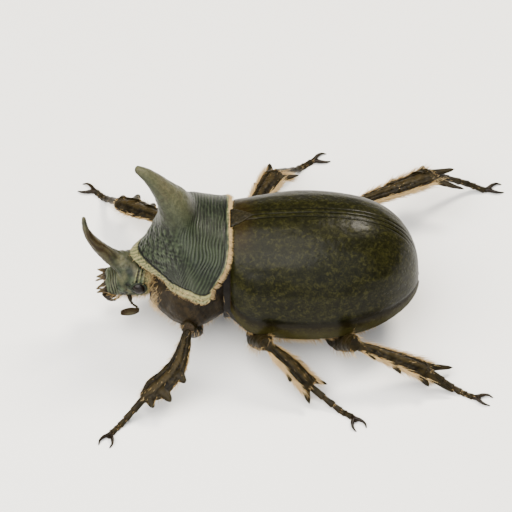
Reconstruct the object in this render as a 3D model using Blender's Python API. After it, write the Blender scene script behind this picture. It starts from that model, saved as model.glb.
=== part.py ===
"""A male rhinoceros beetle of the Enema kind, life size, standing on its six feet.

The beetle faces -X, its left side is towards -Y and the floor is z = 0. Lengths are in millimetres until a
mesh is made. In the body frame x = 0 is the joint between the pronotum and the wing cases, and y = 0 is the
plane of symmetry. At the end an empty carries the whole model so that the origin is at the bottom centre of
its box.
"""

import math

import bpy
import numpy as np

MM = 0.001
GAP = 0.25  # between neighbouring pieces

# Wing cases: a long dome that ends in a rounded tail
CASE_FRONT = 0.1
CASE_LENGTH = 35.0
CASE_HALF_WIDTH = 14.5
SHOULDER_HALF_WIDTH = 11.2
WIDEST_X = 15.0
CASE_TOP = 27.5
SHOULDER_TOP = 26.1
HIGHEST_X = 14.0
CASE_EDGE = 9.1
SHOULDER_EDGE = 12.8
TAIL_EDGE = 10.4
TAIL_RISE_X = 18.0  # the edge climbs to the tail behind this
CASE_WALL = 1.1
CASE_SQUARENESS = 2.2  # exponent of the cross-section, 2 is an ellipse
SUTURE_HALF_GAP = 0.12
SCUTELLUM_HALF_WIDTH = 2.3
SCUTELLUM_TIP_X = 4.3

# Body under the wing cases
CORE_INSET = 1.4
WAIST_X = 16.6  # joint between thorax and abdomen
PYGIDIUM_X = 29.6  # joint between abdomen and tail plate

# Prothorax and head
SHIELD_BACK = CASE_FRONT - GAP
HEAD_BACK = -15.1
CLYPEUS_X = -21.0
HEAD_FRONT = -22.8
HORN_CUT = (-10.6, 0, 30.6)  # where the great horn is a piece of its own
HORN_RISE = (-1.9, 0, 3.5)
HEAD_HORN_CUT = (-21.3, 0, 15.1)
HEAD_HORN_RISE = (-2.4, 0, 2.1)
EYE_AT = (-16.9, 4.1, 12.0)
EYE_RADII = (1.15, 1.3, 1.25)
CLUB_AT = (-18.4, 4.9, 6.25)  # middle of the right antenna's club
CLUB_RADII = (1.65, 0.5, 0.72)

# Limbs
COXA_HALF_LENGTH = 2.5
FOOT_JOINTS = 5
CLAW_RADIUS = 0.45


# ---------------------------------------------------------------- small tools


def curve_through(points, count):
    """count points on a smooth Catmull-Rom curve through the given points."""
    points = np.asarray(points, float)
    ends = np.vstack([2 * points[0] - points[1], points, 2 * points[-1] - points[-2]])
    place = np.linspace(0, len(points) - 1, count)
    index = np.minimum(place.astype(int), len(points) - 2)
    t = (place - index)[:, None]
    a, b, c, d = (ends[index + k] for k in range(4))
    return b + 0.5 * t * (c - a + t * (2 * a - 5 * b + 4 * c - d + t * (3 * b - a - 3 * c + d)))


def along(place, stations):
    """Values at each place of a smooth curve through rows of (place, value, value, ...)."""
    dense = curve_through(stations, 40 * len(stations))
    return np.stack([np.interp(place, dense[:, 0], dense[:, k]) for k in range(1, dense.shape[1])], -1)


def power(value, exponent):
    """A signed power, for the rounded squares of superellipses."""
    return np.sign(value) * np.abs(value) ** exponent


def unit(vector):
    """The vector at length one."""
    vector = np.asarray(vector, float)
    return vector / np.linalg.norm(vector)


# ---------------------------------------------------------------- finishes


def material(name, colour, roughness):
    """One Principled finish, made once."""
    made = bpy.data.materials.get(name)
    if made is None:
        made = bpy.data.materials.new(name)
        made.use_nodes = True
        shader = made.node_tree.nodes["Principled BSDF"]
        shader.inputs["Base Color"].default_value = (*colour, 1.0)
        shader.inputs["Roughness"].default_value = roughness
        shader.inputs["Metallic"].default_value = 0.0
    return made


def finish_case():
    return material("wing_case_chitin", (0.052, 0.042, 0.018), 0.34)


def finish_shield():
    return material("shield_chitin", (0.062, 0.066, 0.040), 0.38)


def finish_limb():
    return material("limb_chitin", (0.062, 0.040, 0.016), 0.40)


def finish_belly():
    return material("belly_chitin", (0.060, 0.036, 0.016), 0.45)


def finish_eye():
    return material("eye", (0.010, 0.008, 0.006), 0.12)


# ---------------------------------------------------------------- making solids


def volume_of(points, faces):
    """Six times the volume inside the faces, negative when they face inwards."""
    fans = [(face[0], face[i], face[i + 1]) for face in faces for i in range(1, len(face) - 1)]
    a, b, c = (points[[fan[k] for fan in fans]] for k in range(3))
    return float(np.sum(a * np.cross(b, c)))


def solid(name, points, faces, finish, helper=False):
    """An object from points in millimetres, its faces turned outwards. A helper cuts or joins others."""
    if volume_of(points, faces) < 0:
        faces = [face[::-1] for face in faces]
    mesh = bpy.data.meshes.new(name)
    mesh.from_pydata((points * MM).tolist(), [], faces)
    mesh.materials.append(finish)
    mesh.shade_smooth()
    mesh.set_sharp_from_angle(angle=math.radians(50))
    made = bpy.data.objects.new(name, mesh)
    bpy.context.scene.collection.objects.link(made)
    if helper:
        made.hide_render = True
        made.display_type = "WIRE"
    return made


def loft(name, rings, finish, helper=False):
    """A closed skin through rings of equal count, with both ends closed by a fan."""
    rows, count = rings.shape[:2]
    points = np.vstack([rings.reshape(-1, 3), rings[0].mean(0), rings[-1].mean(0)])
    first, last = rows * count, rows * count + 1
    faces = []
    for j in range(count):
        k = (j + 1) % count
        for i in range(rows - 1):
            faces.append((i * count + j, i * count + k, (i + 1) * count + k, (i + 1) * count + j))
        faces.append((first, k, j))
        faces.append((last, (rows - 1) * count + j, (rows - 1) * count + k))
    return solid(name, points, faces, finish, helper)


def shell(name, outer, inner, finish):
    """A plate between two grids of points of the same size, closed round its rim."""
    rows, count = outer.shape[:2]
    inside = rows * count
    faces = []
    for i in range(rows - 1):
        for j in range(count - 1):
            quad = (i * count + j, i * count + j + 1, (i + 1) * count + j + 1, (i + 1) * count + j)
            faces.append(quad)
            faces.append(tuple(inside + k for k in reversed(quad)))
    rim = list(range(count))
    rim += [i * count + count - 1 for i in range(1, rows)]
    rim += [(rows - 1) * count + j for j in range(count - 2, -1, -1)]
    rim += [i * count for i in range(rows - 2, 0, -1)]
    for a, b in zip(rim, rim[1:] + rim[:1]):
        faces.append((b, a, inside + a, inside + b))
    return solid(name, np.vstack([outer.reshape(-1, 3), inner.reshape(-1, 3)]), faces, finish)


def tube(path, wide, thick, side, sides=8):
    """Rings round a path. side is the direction of the width; wide and thick are its half sizes."""
    tangent = np.gradient(path, axis=0)
    tangent /= np.linalg.norm(tangent, axis=1)[:, None]
    across = side - (tangent @ np.asarray(side, float))[:, None] * tangent
    across /= np.linalg.norm(across, axis=1)[:, None]
    normal = np.cross(tangent, across)
    angle = np.linspace(0, 2 * math.pi, sides, endpoint=False)
    wide, thick = (np.broadcast_to(np.asarray(half, float), len(path))[:, None] for half in (wide, thick))
    return (
        path[:, None]
        + across[:, None] * (wide * np.cos(angle))[..., None]
        + normal[:, None] * (thick * np.sin(angle))[..., None]
    )


def ball(centre, radii, axis=(0, 1, 0), rows=6, sides=9, grow=0.0):
    """Rings of an ellipsoid whose first radius lies along axis."""
    axis = unit(axis)
    latitude = np.linspace(0.16, math.pi - 0.16, rows)
    length, wide, thick = np.asarray(radii, float) + grow
    path = np.asarray(centre, float) - axis * (length * np.cos(latitude))[:, None]
    side = (1, 0, 0) if abs(axis[0]) < 0.8 else (0, 0, 1)
    return tube(path, wide * np.sin(latitude), thick * np.sin(latitude), side, sides)


def combine(target, operation, helpers):
    """A Boolean on the target with all the helpers at once."""
    group = bpy.data.collections.new(f"{target.name}_{operation.lower()}")
    for helper in helpers:
        group.objects.link(helper)
    step = target.modifiers.new(operation.lower(), "BOOLEAN")
    step.operation = operation
    step.operand_type = "COLLECTION"
    step.collection = group


def carve(target, *cutters):
    """Cuts the helpers from the target."""
    combine(target, "DIFFERENCE", cutters)


def join(target, *helpers):
    """Adds the helpers' shapes to the target."""
    combine(target, "UNION", helpers)


def block(name, point, normal, reach=30.0):
    """A helper that fills the side of a plane that normal points to, as far as reach."""
    normal = unit(normal)
    path = np.asarray(point, float) + normal * np.array([[0.0], [reach]])
    return loft(name, tube(path, reach, reach, (0, 1, 0), sides=4), finish_belly(), helper=True)


def part_across(name, lower, upper, point, rise):
    """Parts two overlapping solids by a thin cut across rise: lower keeps what is before it."""
    point, rise = np.asarray(point, float), unit(rise)
    carve(lower, block(f"{name}_above", point - rise * GAP / 2, rise))
    carve(upper, block(f"{name}_below", point + rise * GAP / 2, -rise))


# ---------------------------------------------------------------- wing cases and the body under them


def dome_sizes(x):
    """Half width, top and edge height of the closed wing cases at x."""
    front = np.clip((WIDEST_X - x) / WIDEST_X, 0, 1)
    back = np.clip((x - WIDEST_X) / (CASE_LENGTH - WIDEST_X), 0, 1)
    half = CASE_HALF_WIDTH - (CASE_HALF_WIDTH - SHOULDER_HALF_WIDTH) * front**2.2
    half = half * np.sqrt(1 - back**2)
    rise = np.clip((HIGHEST_X - x) / HIGHEST_X, 0, 1)
    fall = np.clip((x - HIGHEST_X) / (CASE_LENGTH - HIGHEST_X), 0, 1)
    top = CASE_TOP - (CASE_TOP - SHOULDER_TOP) * rise**2
    top = TAIL_EDGE + (top - TAIL_EDGE) * (1 - fall**2.8) ** (1 / 2.8)
    edge = CASE_EDGE + (SHOULDER_EDGE - CASE_EDGE) * np.clip((4 - x) / 4, 0, 1) ** 1.5
    tail_share = np.clip((x - TAIL_RISE_X) / (CASE_LENGTH - TAIL_RISE_X), 0, 1)
    edge = edge + (TAIL_EDGE - CASE_EDGE) * tail_share**2
    return half, top, edge


def dome(x, angle, inset=0.0):
    """Points of the wing-case dome, set in from its outer face. The angle is 0 at the top, a quarter turn at
    the edge."""
    half, top, edge = dome_sizes(x)
    y = half * (1 - inset / CASE_HALF_WIDTH) * power(np.sin(angle), 2 / CASE_SQUARENESS)
    z = edge + (top - edge) * (1 - inset / (CASE_TOP - CASE_EDGE)) * power(np.cos(angle), 2 / CASE_SQUARENESS)
    return np.stack(np.broadcast_arrays(x * (CASE_LENGTH - inset) / CASE_LENGTH, y, z), -1)


def belly(x):
    """Height of the underside under the wing cases."""
    stations = [(0, 5.6), (4, 3.9), (12, 3.2), (22, 3.6), (28, 5.2), (32, 7.6), (CASE_LENGTH, 10.0)]
    return along(x, stations)[..., 0]


def core_rings(start, end, rows, sides=7):
    """Closed rings of the body under the wing cases between two places along it."""
    upper = np.linspace(-math.pi / 2, math.pi / 2, 2 * sides - 1)
    lower = np.linspace(math.pi / 2, -math.pi / 2, sides + 4)[1:-1]
    x = (np.linspace(start, end, rows) * CASE_LENGTH / (CASE_LENGTH - CORE_INSET))[:, None]
    roof = dome(x, np.abs(upper)[None], CORE_INSET)
    roof[..., 1] *= np.sign(upper)[None]
    half, edge = roof[:, -1:, 1], roof[:, -1:, 2]
    floor_y = half * power(np.sin(lower), 1.1)[None]
    floor_z = edge - (edge - belly(x)) * power(np.cos(lower), 0.9)[None]
    floor = np.stack(np.broadcast_arrays(roof[:, :1, 0], floor_y, floor_z), -1)
    return np.concatenate([roof, floor], axis=1)


def wing_case(name, side):
    """One elytron: a bent shell from the suture to the outer edge."""
    reach = np.sin(np.linspace(0, 0.5 * math.pi, 14))
    x = (CASE_FRONT + (CASE_LENGTH - 0.03 - CASE_FRONT) * reach)[:, None]
    angle = np.linspace(0, 0.5 * math.pi, 9)[None]
    outer = dome(x, angle)
    inner = dome(x, angle, CASE_WALL)
    inner[0, :, 0] = CASE_FRONT
    for face in (outer, inner):
        face[..., 1] = side * (SUTURE_HALF_GAP + face[..., 1] * (1 - SUTURE_HALF_GAP / CASE_HALF_WIDTH))
    return shell(name, outer, inner, finish_case())


def scutellum_rings(grow, depth, rise):
    """Rings of the small triangular plate between the wing-case bases.

    It reaches from depth under their top to rise over it."""
    half, tip = SCUTELLUM_HALF_WIDTH + grow, SCUTELLUM_TIP_X + 1.6 * grow
    x = np.linspace(CASE_FRONT - grow, tip, 6)[:, None]
    y = np.maximum(half * (1 - ((x - x[0]) / (tip - x[0])) ** 1.5), 0.16) * np.array([-1, 1, 1, 0, -1])
    top = dome_sizes(x)[1]
    z = top + np.array([-depth, -depth, rise, rise, rise]) - 0.12 * np.abs(y)
    return np.stack(np.broadcast_arrays(x, y, z), -1)


def make_hind_body(rooms):
    """Wing cases, scutellum, hind thorax, abdomen and tail plate. rooms clear the legs."""
    loft("scutellum", scutellum_rings(0, 1.0, -0.05), finish_shield())
    plate_room = loft("scutellum_room", scutellum_rings(GAP, 1.0 + GAP, 3), finish_shield(), helper=True)
    for side, word in ((-1, "left"), (1, "right")):
        carve(wing_case(f"elytron_{word}", side), plate_room)
    thorax = loft("hind_thorax", core_rings(CASE_FRONT, WAIST_X, 7), finish_belly())
    hind_rooms = rooms["hind_left"] + rooms["hind_right"]
    carve(thorax, *rooms["middle_left"], *rooms["middle_right"], *hind_rooms, plate_room)
    abdomen = loft("abdomen", core_rings(WAIST_X + GAP, PYGIDIUM_X, 6), finish_belly())
    carve(abdomen, *hind_rooms)
    loft("pygidium", core_rings(PYGIDIUM_X + GAP, CASE_LENGTH - CORE_INSET - 0.15, 6), finish_belly())


# ---------------------------------------------------------------- prothorax


def chest_rings(grow=0.0):
    """Rings of the prothorax under its shield.

    Each row gives x, the half width, the height of the widest line, the top and the bottom."""
    stations = [
        (HEAD_BACK + GAP, 4.6, 10.6, 14.4, 6.2),
        (-13.0, 7.6, 10.7, 17.8, 5.0),
        (-10.4, 10.6, 10.8, 21.4, 4.5),
        (-8.4, 12.0, 10.9, 23.0, 4.3),
        (-6.0, 12.2, 11.0, 23.6, 4.3),
        (-3.4, 11.1, 11.4, 23.2, 4.8),
        (SHIELD_BACK, 9.0, 12.6, 22.4, 6.2),
    ]
    x, half, middle, top, bottom = np.array(stations).T[:, :, None]
    angle = np.linspace(0, 2 * math.pi, 22, endpoint=False)[None]
    up = np.cos(angle) > 0
    height = np.where(up, top + grow - middle, middle - bottom + grow)
    y = (half + grow) * power(np.sin(angle), np.where(up, 1.33, 1.25))
    z = middle + height * power(np.cos(angle), np.where(up, 1.33, 1.25))
    x[0] -= grow
    x[-1] += grow
    return np.stack(np.broadcast_arrays(x, y, z), -1)


def shield_rings():
    """Rings of the pronotum from its front lip to its back edge, each an arch closed by a straight underside.

    Each row gives its share of the way, the arch's middle (x, z), its margin (x, half width, z), and how late
    the arch leaves the middle's x for the margin's."""
    stations = [
        (0.00, -18.5, 17.1, -11.6, 6.6, 15.5, 1.7),
        (0.10, -17.2, 18.3, -11.0, 7.6, 15.8, 1.7),
        (0.22, -15.8, 20.4, -10.2, 8.4, 16.0, 1.7),
        (0.34, -14.4, 23.6, -9.3, 9.3, 16.2, 1.7),
        (0.44, -12.9, 26.2, -8.4, 10.1, 16.4, 1.7),
        (0.55, -10.8, 27.8, -7.1, 10.9, 16.5, 1.8),
        (0.68, -7.8, 28.0, -6.4, 11.5, 16.5, 2.2),
        (0.82, -4.6, 27.0, -5.0, 11.9, 16.4, 3.5),
        (0.93, -1.9, 26.2, -4.1, 11.9, 16.7, 6.0),
        (1.00, SHIELD_BACK, 25.9, -3.6, 11.7, 17.2, 8.0),
    ]
    place = np.linspace(0, 1, 13)
    middle_x, middle_z, edge_x, half, edge_z, late = along(place, stations).T[:, :, None]
    angle = np.linspace(-math.pi / 2, math.pi / 2, 15)[None]
    y = half * power(np.sin(angle), 2 / 2.1)
    z = edge_z + (middle_z - edge_z) * power(np.cos(angle), 2 / 2.1)
    x = middle_x + (edge_x - middle_x) * np.abs(np.sin(angle)) ** late
    arch = np.stack(np.broadcast_arrays(x, y, z), -1)
    across = np.array([0.97, 0.0, -0.97])[None]
    under = np.stack(np.broadcast_arrays(edge_x, half * across, edge_z - 0.8), -1)
    return np.concatenate([arch, under], axis=1)


def great_horn_rings():
    """Rings of the great horn, from inside the pronotum up and forward to its blunt tip."""
    bends = [(-8.6, 0, 26.0), (-10.2, 0, 29.4), (-12.2, 0, 33.0), (-14.8, 0, 36.6), (-17.3, 0, 38.8)]
    path = curve_through(bends, 12)
    stations = [
        (0, 6.2, 4.8),
        (0.2, 4.6, 3.6),
        (0.45, 3.0, 2.2),
        (0.7, 1.9, 1.25),
        (0.9, 1.2, 0.75),
        (1.0, 0.65, 0.35),
    ]
    wide, thick = along(np.linspace(0, 1, len(path)), stations).T
    return tube(path, wide, thick, (0, 1, 0), sides=12)


def make_prothorax(rooms):
    """Pronotum, great horn and prosternum."""
    chest = loft("prosternum", chest_rings(), finish_belly())
    carve(chest, *rooms["front_left"], *rooms["front_right"])
    shield = loft("pronotum", shield_rings(), finish_shield())
    join(shield, loft("great_horn_root", great_horn_rings(), finish_shield(), helper=True))
    carve(shield, loft("chest_room", chest_rings(GAP), finish_shield(), helper=True))
    horn = loft("thoracic_horn", great_horn_rings(), finish_shield())
    part_across("great_horn", shield, horn, HORN_CUT, HORN_RISE)


# ---------------------------------------------------------------- head


def head_rings():
    """Rings of the head. Each row gives x, the half width, the bottom and the top."""
    stations = [
        (HEAD_FRONT, 2.3, 8.8, 10.4),
        (-22.4, 2.9, 8.3, 11.3),
        (-21.7, 3.4, 8.1, 12.4),
        (-20.6, 3.9, 8.1, 13.9),
        (-19.2, 4.2, 8.1, 15.0),
        (-17.6, 4.3, 8.1, 15.7),
        (-16.2, 4.2, 8.1, 15.6),
        (HEAD_BACK, 3.7, 8.3, 14.9),
    ]
    x, half, bottom, top = np.array(stations).T[:, :, None]
    angle = np.linspace(0, 2 * math.pi, 16, endpoint=False)[None]
    y = half * power(np.sin(angle), 2 / 2.3)
    z = (top + bottom) / 2 + (top - bottom) / 2 * power(np.cos(angle), 2 / 2.3)
    return np.stack(np.broadcast_arrays(x, y, z), -1)


def head_horn_rings(grow=0.0):
    """Rings of the horn on the head, forward and then up."""
    bends = [
        (-18.0, 0, 12.9),
        (-20.5, 0, 14.7),
        (-22.9, 0, 16.9),
        (-25.0, 0, 19.6),
        (-26.5, 0, 22.6),
        (-27.0, 0, 26.2),
    ]
    path = curve_through(bends, 13)
    stations = [
        (0, 2.6, 2.2),
        (0.2, 2.1, 1.7),
        (0.4, 1.6, 1.25),
        (0.6, 1.2, 0.95),
        (0.8, 0.8, 0.65),
        (1, 0.32, 0.3),
    ]
    wide, thick = along(np.linspace(0, 1, len(path)), stations).T
    return tube(path, wide + grow, thick + grow, (0, 1, 0), sides=9)


def stalk_rings(side, grow=0.0):
    """Rings of an antenna's stalk, from its socket under the cheek to the club."""
    path = curve_through([(-18.9, side * 3.3, 9.6), (-18.5, side * 3.9, 8.3), (-17.4, side * 4.4, 7.3)], 6)
    wide = np.array([0.5, 0.42, 0.34, 0.3, 0.3, 0.36])
    return tube(path, wide + grow, np.full(6, 0.3) + grow, (1, 0, 0), sides=6)


def jaw_rings(side, grow=0.0):
    """Rings of a mandible, which curls inwards in front of the clypeus."""
    bends = [(-21.9, 2.5, 8.5), (-22.7, 2.6, 8.4), (-23.3, 2.0, 8.5), (-23.45, 1.2, 8.7)]
    path = curve_through(bends, 7) * (1, side, 1)
    wide = np.array([0.45, 0.56, 0.56, 0.5, 0.42, 0.34, 0.26])
    return tube(path, wide + grow, 0.7 * wide + grow, (0, 1, 0), sides=6)


def palp_rings(side):
    """Rings of a palp, which hangs under the mouth."""
    path = curve_through([(-20.4, side * 1.5, 7.4), (-21.2, side * 1.9, 6.7), (-22.3, side * 2.0, 6.5)], 6)
    return tube(path, np.array([0.3, 0.34, 0.28, 0.34, 0.38, 0.26]), np.full(6, 0.3), (0, 1, 0), sides=6)


def make_head():
    """Head, horn, clypeus, eyes, jaws, palps and antennae."""
    finish = finish_shield()
    rooms = []
    for side, word in ((-1, "left"), (1, "right")):
        eye_at = np.array(EYE_AT) * (1, side, 1)
        loft(f"eye_{word}", ball(eye_at, EYE_RADII), finish_eye())
        loft(f"mandible_{word}", jaw_rings(side), finish_limb())
        loft(f"palp_{word}", palp_rings(side), finish_limb())
        loft(f"antenna_stalk_{word}", stalk_rings(side), finish_limb())
        club_at = np.array(CLUB_AT) * (1, side, 1)
        loft(f"antenna_club_{word}", ball(club_at, CLUB_RADII, (1, 0, 0)), finish_limb())
        rooms.append(loft(f"eye_room_{word}", ball(eye_at, EYE_RADII, grow=GAP), finish, helper=True))
        rooms.append(loft(f"jaw_room_{word}", jaw_rings(side, GAP), finish, helper=True))
        rooms.append(loft(f"stalk_room_{word}", stalk_rings(side, GAP), finish, helper=True))
    head = loft("head", head_rings(), finish)
    carve(head, block("before_face", (CLYPEUS_X, 0, 10), (-1, 0, 0)))
    join(head, loft("head_horn_root", head_horn_rings(), finish, helper=True))
    carve(head, *rooms)
    horn_room = loft("head_horn_room", head_horn_rings(GAP), finish, helper=True)
    behind_face = block("behind_face", (CLYPEUS_X - GAP, 0, 10), (1, 0, 0))
    carve(loft("clypeus", head_rings(), finish), behind_face, horn_room, *rooms)
    horn = loft("head_horn", head_horn_rings(), finish)
    part_across("head_horn", head, horn, HEAD_HORN_CUT, HEAD_HORN_RISE)


# ---------------------------------------------------------------- limbs


class Limb:
    """One leg: its joints in the body frame, the way its claws point in degrees from +X, how its shin bows,
    and the spines on the shin.

    Each spine is (share of the shin's length, outer side 1 or inner side -1, length, lean to the foot)."""

    def __init__(self, name, hip, bow, knee, ankle, foot, claw_heading, shin_half, bend, spines):
        self.name = name
        self.hip, self.bow = np.asarray(hip, float), np.asarray(bow, float)
        self.knee, self.ankle = np.asarray(knee, float), np.asarray(ankle, float)
        self.foot = np.asarray(foot, float)
        self.claw_heading = claw_heading
        self.shin_half = shin_half
        self.bend = bend
        self.spines = spines

    def outward(self):
        """The level direction across the shin, towards its outer edge."""
        across = unit(np.cross(self.ankle - self.knee, (0, 0, 1)))
        return across * np.sign(across[1] * self.hip[1])


FRONT_TEETH = [(0.56, 1, 1.3, 0.3), (0.82, 1, 1.9, 0.3), (0.97, 1, 1.5, 0.7)]
MIDDLE_SPINES = [(0.55, -1, 1.8, 0.9), (0.92, -1, 3.4, 1.15), (0.60, 1, 1.2, 0.9), (0.95, 1, 2.6, 1.2)]
HIND_SPINES = [
    (0.24, 1, 1.2, 0.9),
    (0.54, 1, 1.9, 0.8),
    (0.90, 1, 2.2, 0.7),
    (0.97, -1, 5.4, 1.25),
    (0.98, 1, 5.4, 1.2),
]
FRONT_SHIN, MIDDLE_SHIN, HIND_SHIN = (1.05, 2.4), (1.0, 1.9), (1.0, 2.1)  # half widths at knee and foot

LIMBS = [
    Limb(
        "front_left",
        hip=(-6.0, -4.2, 4.8),
        bow=(-6.8, -9.2, 6.2),
        knee=(-7.6, -13.2, 10.4),
        ankle=(-16.0, -24.7, 3.4),
        foot=[(-19.9, -28.0, 0.5), (-21.8, -30.3, 0.26)],
        claw_heading=-112,
        shin_half=FRONT_SHIN,
        bend=2.2,
        spines=FRONT_TEETH,
    ),
    Limb(
        "front_right",
        hip=(-6.0, 4.2, 4.8),
        bow=(-7.4, 9.2, 6.2),
        knee=(-9.4, 13.8, 10.1),
        ankle=(-21.3, 26.1, 4.5),
        foot=[(-23.9, 31.0, 0.6), (-25.4, 32.9, 0.26)],
        claw_heading=155,
        shin_half=FRONT_SHIN,
        bend=0.2,
        spines=FRONT_TEETH,
    ),
    Limb(
        "middle_left",
        hip=(4.2, -5.0, 4.4),
        bow=(4.9, -10.4, 5.2),
        knee=(6.6, -16.6, 9.9),
        ankle=(15.0, -21.1, 3.0),
        foot=[(20.0, -24.3, 0.5), (22.6, -26.2, 0.26)],
        claw_heading=-62,
        shin_half=MIDDLE_SHIN,
        bend=-0.3,
        spines=MIDDLE_SPINES,
    ),
    Limb(
        "middle_right",
        hip=(4.2, 5.0, 4.4),
        bow=(4.0, 10.8, 5.2),
        knee=(3.2, 17.0, 9.7),
        ankle=(8.6, 30.4, 8.0),
        foot=[(12.7, 38.4, 1.0), (15.4, 41.2, 0.26)],
        claw_heading=22,
        shin_half=MIDDLE_SHIN,
        bend=0.0,
        spines=MIDDLE_SPINES,
    ),
    Limb(
        "hind_left",
        hip=(15.6, -5.2, 4.3),
        bow=(20.0, -10.2, 4.5),
        knee=(22.8, -16.8, 10.0),
        ankle=(37.0, -17.5, 3.2),
        foot=[(42.2, -19.6, 0.5), (45.0, -21.1, 0.26)],
        claw_heading=-16,
        shin_half=HIND_SHIN,
        bend=0.0,
        spines=HIND_SPINES,
    ),
    Limb(
        "hind_right",
        hip=(15.6, 5.2, 4.3),
        bow=(18.6, 11.4, 4.8),
        knee=(22.6, 18.5, 11.0),
        ankle=(38.4, 29.5, 8.2),
        foot=[(44.4, 33.2, 2.4), (48.2, 33.4, 0.26)],
        claw_heading=12,
        shin_half=HIND_SHIN,
        bend=0.0,
        spines=HIND_SPINES,
    ),
]


def coxa_rings(limb, grow=0.0):
    """Rings of the coxa, a ball drawn out along the thigh."""
    return ball(limb.hip, (COXA_HALF_LENGTH, 1.75, 1.55), limb.bow - limb.hip, rows=5, sides=7, grow=grow)


def femur_rings(limb, grow=0.0):
    """Rings of the femur from the coxa to a rounded knee, stout in the middle."""
    start = limb.hip + unit(limb.bow - limb.hip) * (COXA_HALF_LENGTH + GAP)
    past = limb.knee + unit(limb.knee - limb.bow) * 0.7
    path = np.vstack([curve_through([start, limb.bow, limb.knee], 7), past])
    stations = [
        (0, 0.8, 0.7),
        (0.15, 1.35, 1.1),
        (0.45, 1.9, 1.4),
        (0.8, 1.5, 1.2),
        (0.95, 1.15, 1.0),
        (1.0, 0.6, 0.55),
    ]
    wide, thick = along(np.linspace(0, 1, 8), stations).T
    return tube(path, wide + grow, thick + grow, limb.outward(), sides=8)


def foot_rings(limb, grow=0.0):
    """Rings of the tarsus: short joints, each wider at its far end, the last ones flat on the floor."""
    axis = unit(limb.foot[0] - limb.ankle)
    start = limb.ankle + axis * (0.1 + GAP)
    route = curve_through([start, *limb.foot], 40)
    place = (np.arange(FOOT_JOINTS)[:, None] + [0.0, 0.82]).ravel() / (FOOT_JOINTS - 0.18) * (len(route) - 1)
    path = np.stack([np.interp(place, range(len(route)), route[:, k]) for k in range(3)], -1)
    path[0] -= axis * grow
    swell = np.tile([0.38, 0.66], FOOT_JOINTS)
    swell[-2:] = 0.42
    rings = tube(path, swell + grow, 0.95 * swell + grow, limb.outward(), sides=6)
    rings[..., 2] = np.maximum(rings[..., 2], -grow)
    return rings


def spine(name, root, tip, flat):
    """A helper cone for a tooth or spine, broader along flat."""
    taper = np.array([0.82, 0.52, 0.13])
    rings = tube(np.linspace(root, tip, 3), 1.2 * taper, 0.75 * taper, flat, sides=5)
    return loft(name, rings, finish_limb(), helper=True)


def make_tibia(limb):
    """The shin, widening to its foot end, with its teeth or spines."""
    axis = unit(limb.ankle - limb.knee)
    across = limb.outward()
    middle = (limb.knee + limb.ankle) / 2 + across * limb.bend
    path = curve_through([limb.knee, middle, limb.ankle], 7)
    narrow, broad = limb.shin_half
    stations = [
        (0, 0.7, 0.65),
        (0.12, narrow, 0.85),
        (0.4, 0.5 * (narrow + broad), 0.95),
        (0.8, broad, 0.9),
        (1, 0.75 * broad, 0.7),
    ]
    wide, thick = along(np.linspace(0, 1, len(path)), stations).T
    bone = loft(f"{limb.name}_tibia", tube(path, wide, thick, across, sides=8), finish_limb())
    spines = []
    for number, (share, side, length, lean) in enumerate(limb.spines):
        place = share * (len(path) - 1)
        foot = np.array([np.interp(place, range(len(path)), path[:, k]) for k in range(3)])
        width = np.interp(place, range(len(path)), wide)
        root = foot + across * side * 0.4 * width - axis * 0.5 * lean
        tip = foot + across * side * (width + length * math.cos(lean)) + axis * length * math.sin(lean)
        spines.append(spine(f"{limb.name}_spine_{number}", root, tip, axis))
    join(bone, *spines)
    carve(
        bone,
        loft(f"{limb.name}_knee_room", femur_rings(limb, GAP), finish_limb(), helper=True),
        loft(f"{limb.name}_foot_room", foot_rings(limb, GAP), finish_limb(), helper=True),
    )


def claw_rings(limb):
    """Rings of the claw pair: one tube from tip to tip round the end of the foot, thickest at the foot."""
    toe = limb.foot[-1]
    heading = math.radians(limb.claw_heading)
    forward = np.array([math.cos(heading), math.sin(heading), 0])
    across = np.array([-forward[1], forward[0], 0])
    root = toe * (1, 1, 0) + forward * (CLAW_RADIUS + GAP)
    half = [(2.8, 1.15, 0.1), (2.0, 1.2, 0.4), (1.15, 0.92, 0.44), (0.45, 0.55, 0.32), (0.06, 0.0, 0.3)]
    bends = [(f, a, z) for f, a, z in half] + [(f, -a, z) for f, a, z in half[-2::-1]]
    path = curve_through([root + forward * f + across * a + (0, 0, z) for f, a, z in bends], 11)
    radius = CLAW_RADIUS - 0.29 * np.abs(np.linspace(-1, 1, len(path))) ** 1.5
    rings = tube(path, radius, radius, (0, 0, 1), sides=5)
    rings[..., 2] = np.maximum(rings[..., 2], 0.0)
    return rings


def make_limb(limb):
    """All pieces of one leg, and the helpers that clear room for it in the body."""
    loft(f"{limb.name}_coxa", coxa_rings(limb), finish_limb())
    loft(f"{limb.name}_femur", femur_rings(limb), finish_limb())
    make_tibia(limb)
    loft(f"{limb.name}_tarsus", foot_rings(limb), finish_limb())
    loft(f"{limb.name}_claws", claw_rings(limb), finish_limb())
    return [
        loft(f"{limb.name}_hip_room", coxa_rings(limb, GAP), finish_limb(), helper=True),
        loft(f"{limb.name}_thigh_room", femur_rings(limb, GAP), finish_limb(), helper=True),
    ]


# ---------------------------------------------------------------- assembly


def clear_scene():
    for old in list(bpy.data.objects):
        bpy.data.objects.remove(old)


def centre_on_floor():
    """Parents everything to an empty that puts the bottom centre of the model's box at the origin."""
    graph = bpy.context.evaluated_depsgraph_get()
    pieces = list(bpy.data.objects)
    shown = [piece.evaluated_get(graph) for piece in pieces if not piece.hide_render]
    corners = np.array([corner[:] for piece in shown for corner in piece.bound_box])
    low, high = corners.min(0), corners.max(0)
    stand = bpy.data.objects.new("beetle", None)
    bpy.context.scene.collection.objects.link(stand)
    stand.location = (-(low[0] + high[0]) / 2, -(low[1] + high[1]) / 2, -low[2])
    for piece in pieces:
        piece.parent = stand


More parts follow.
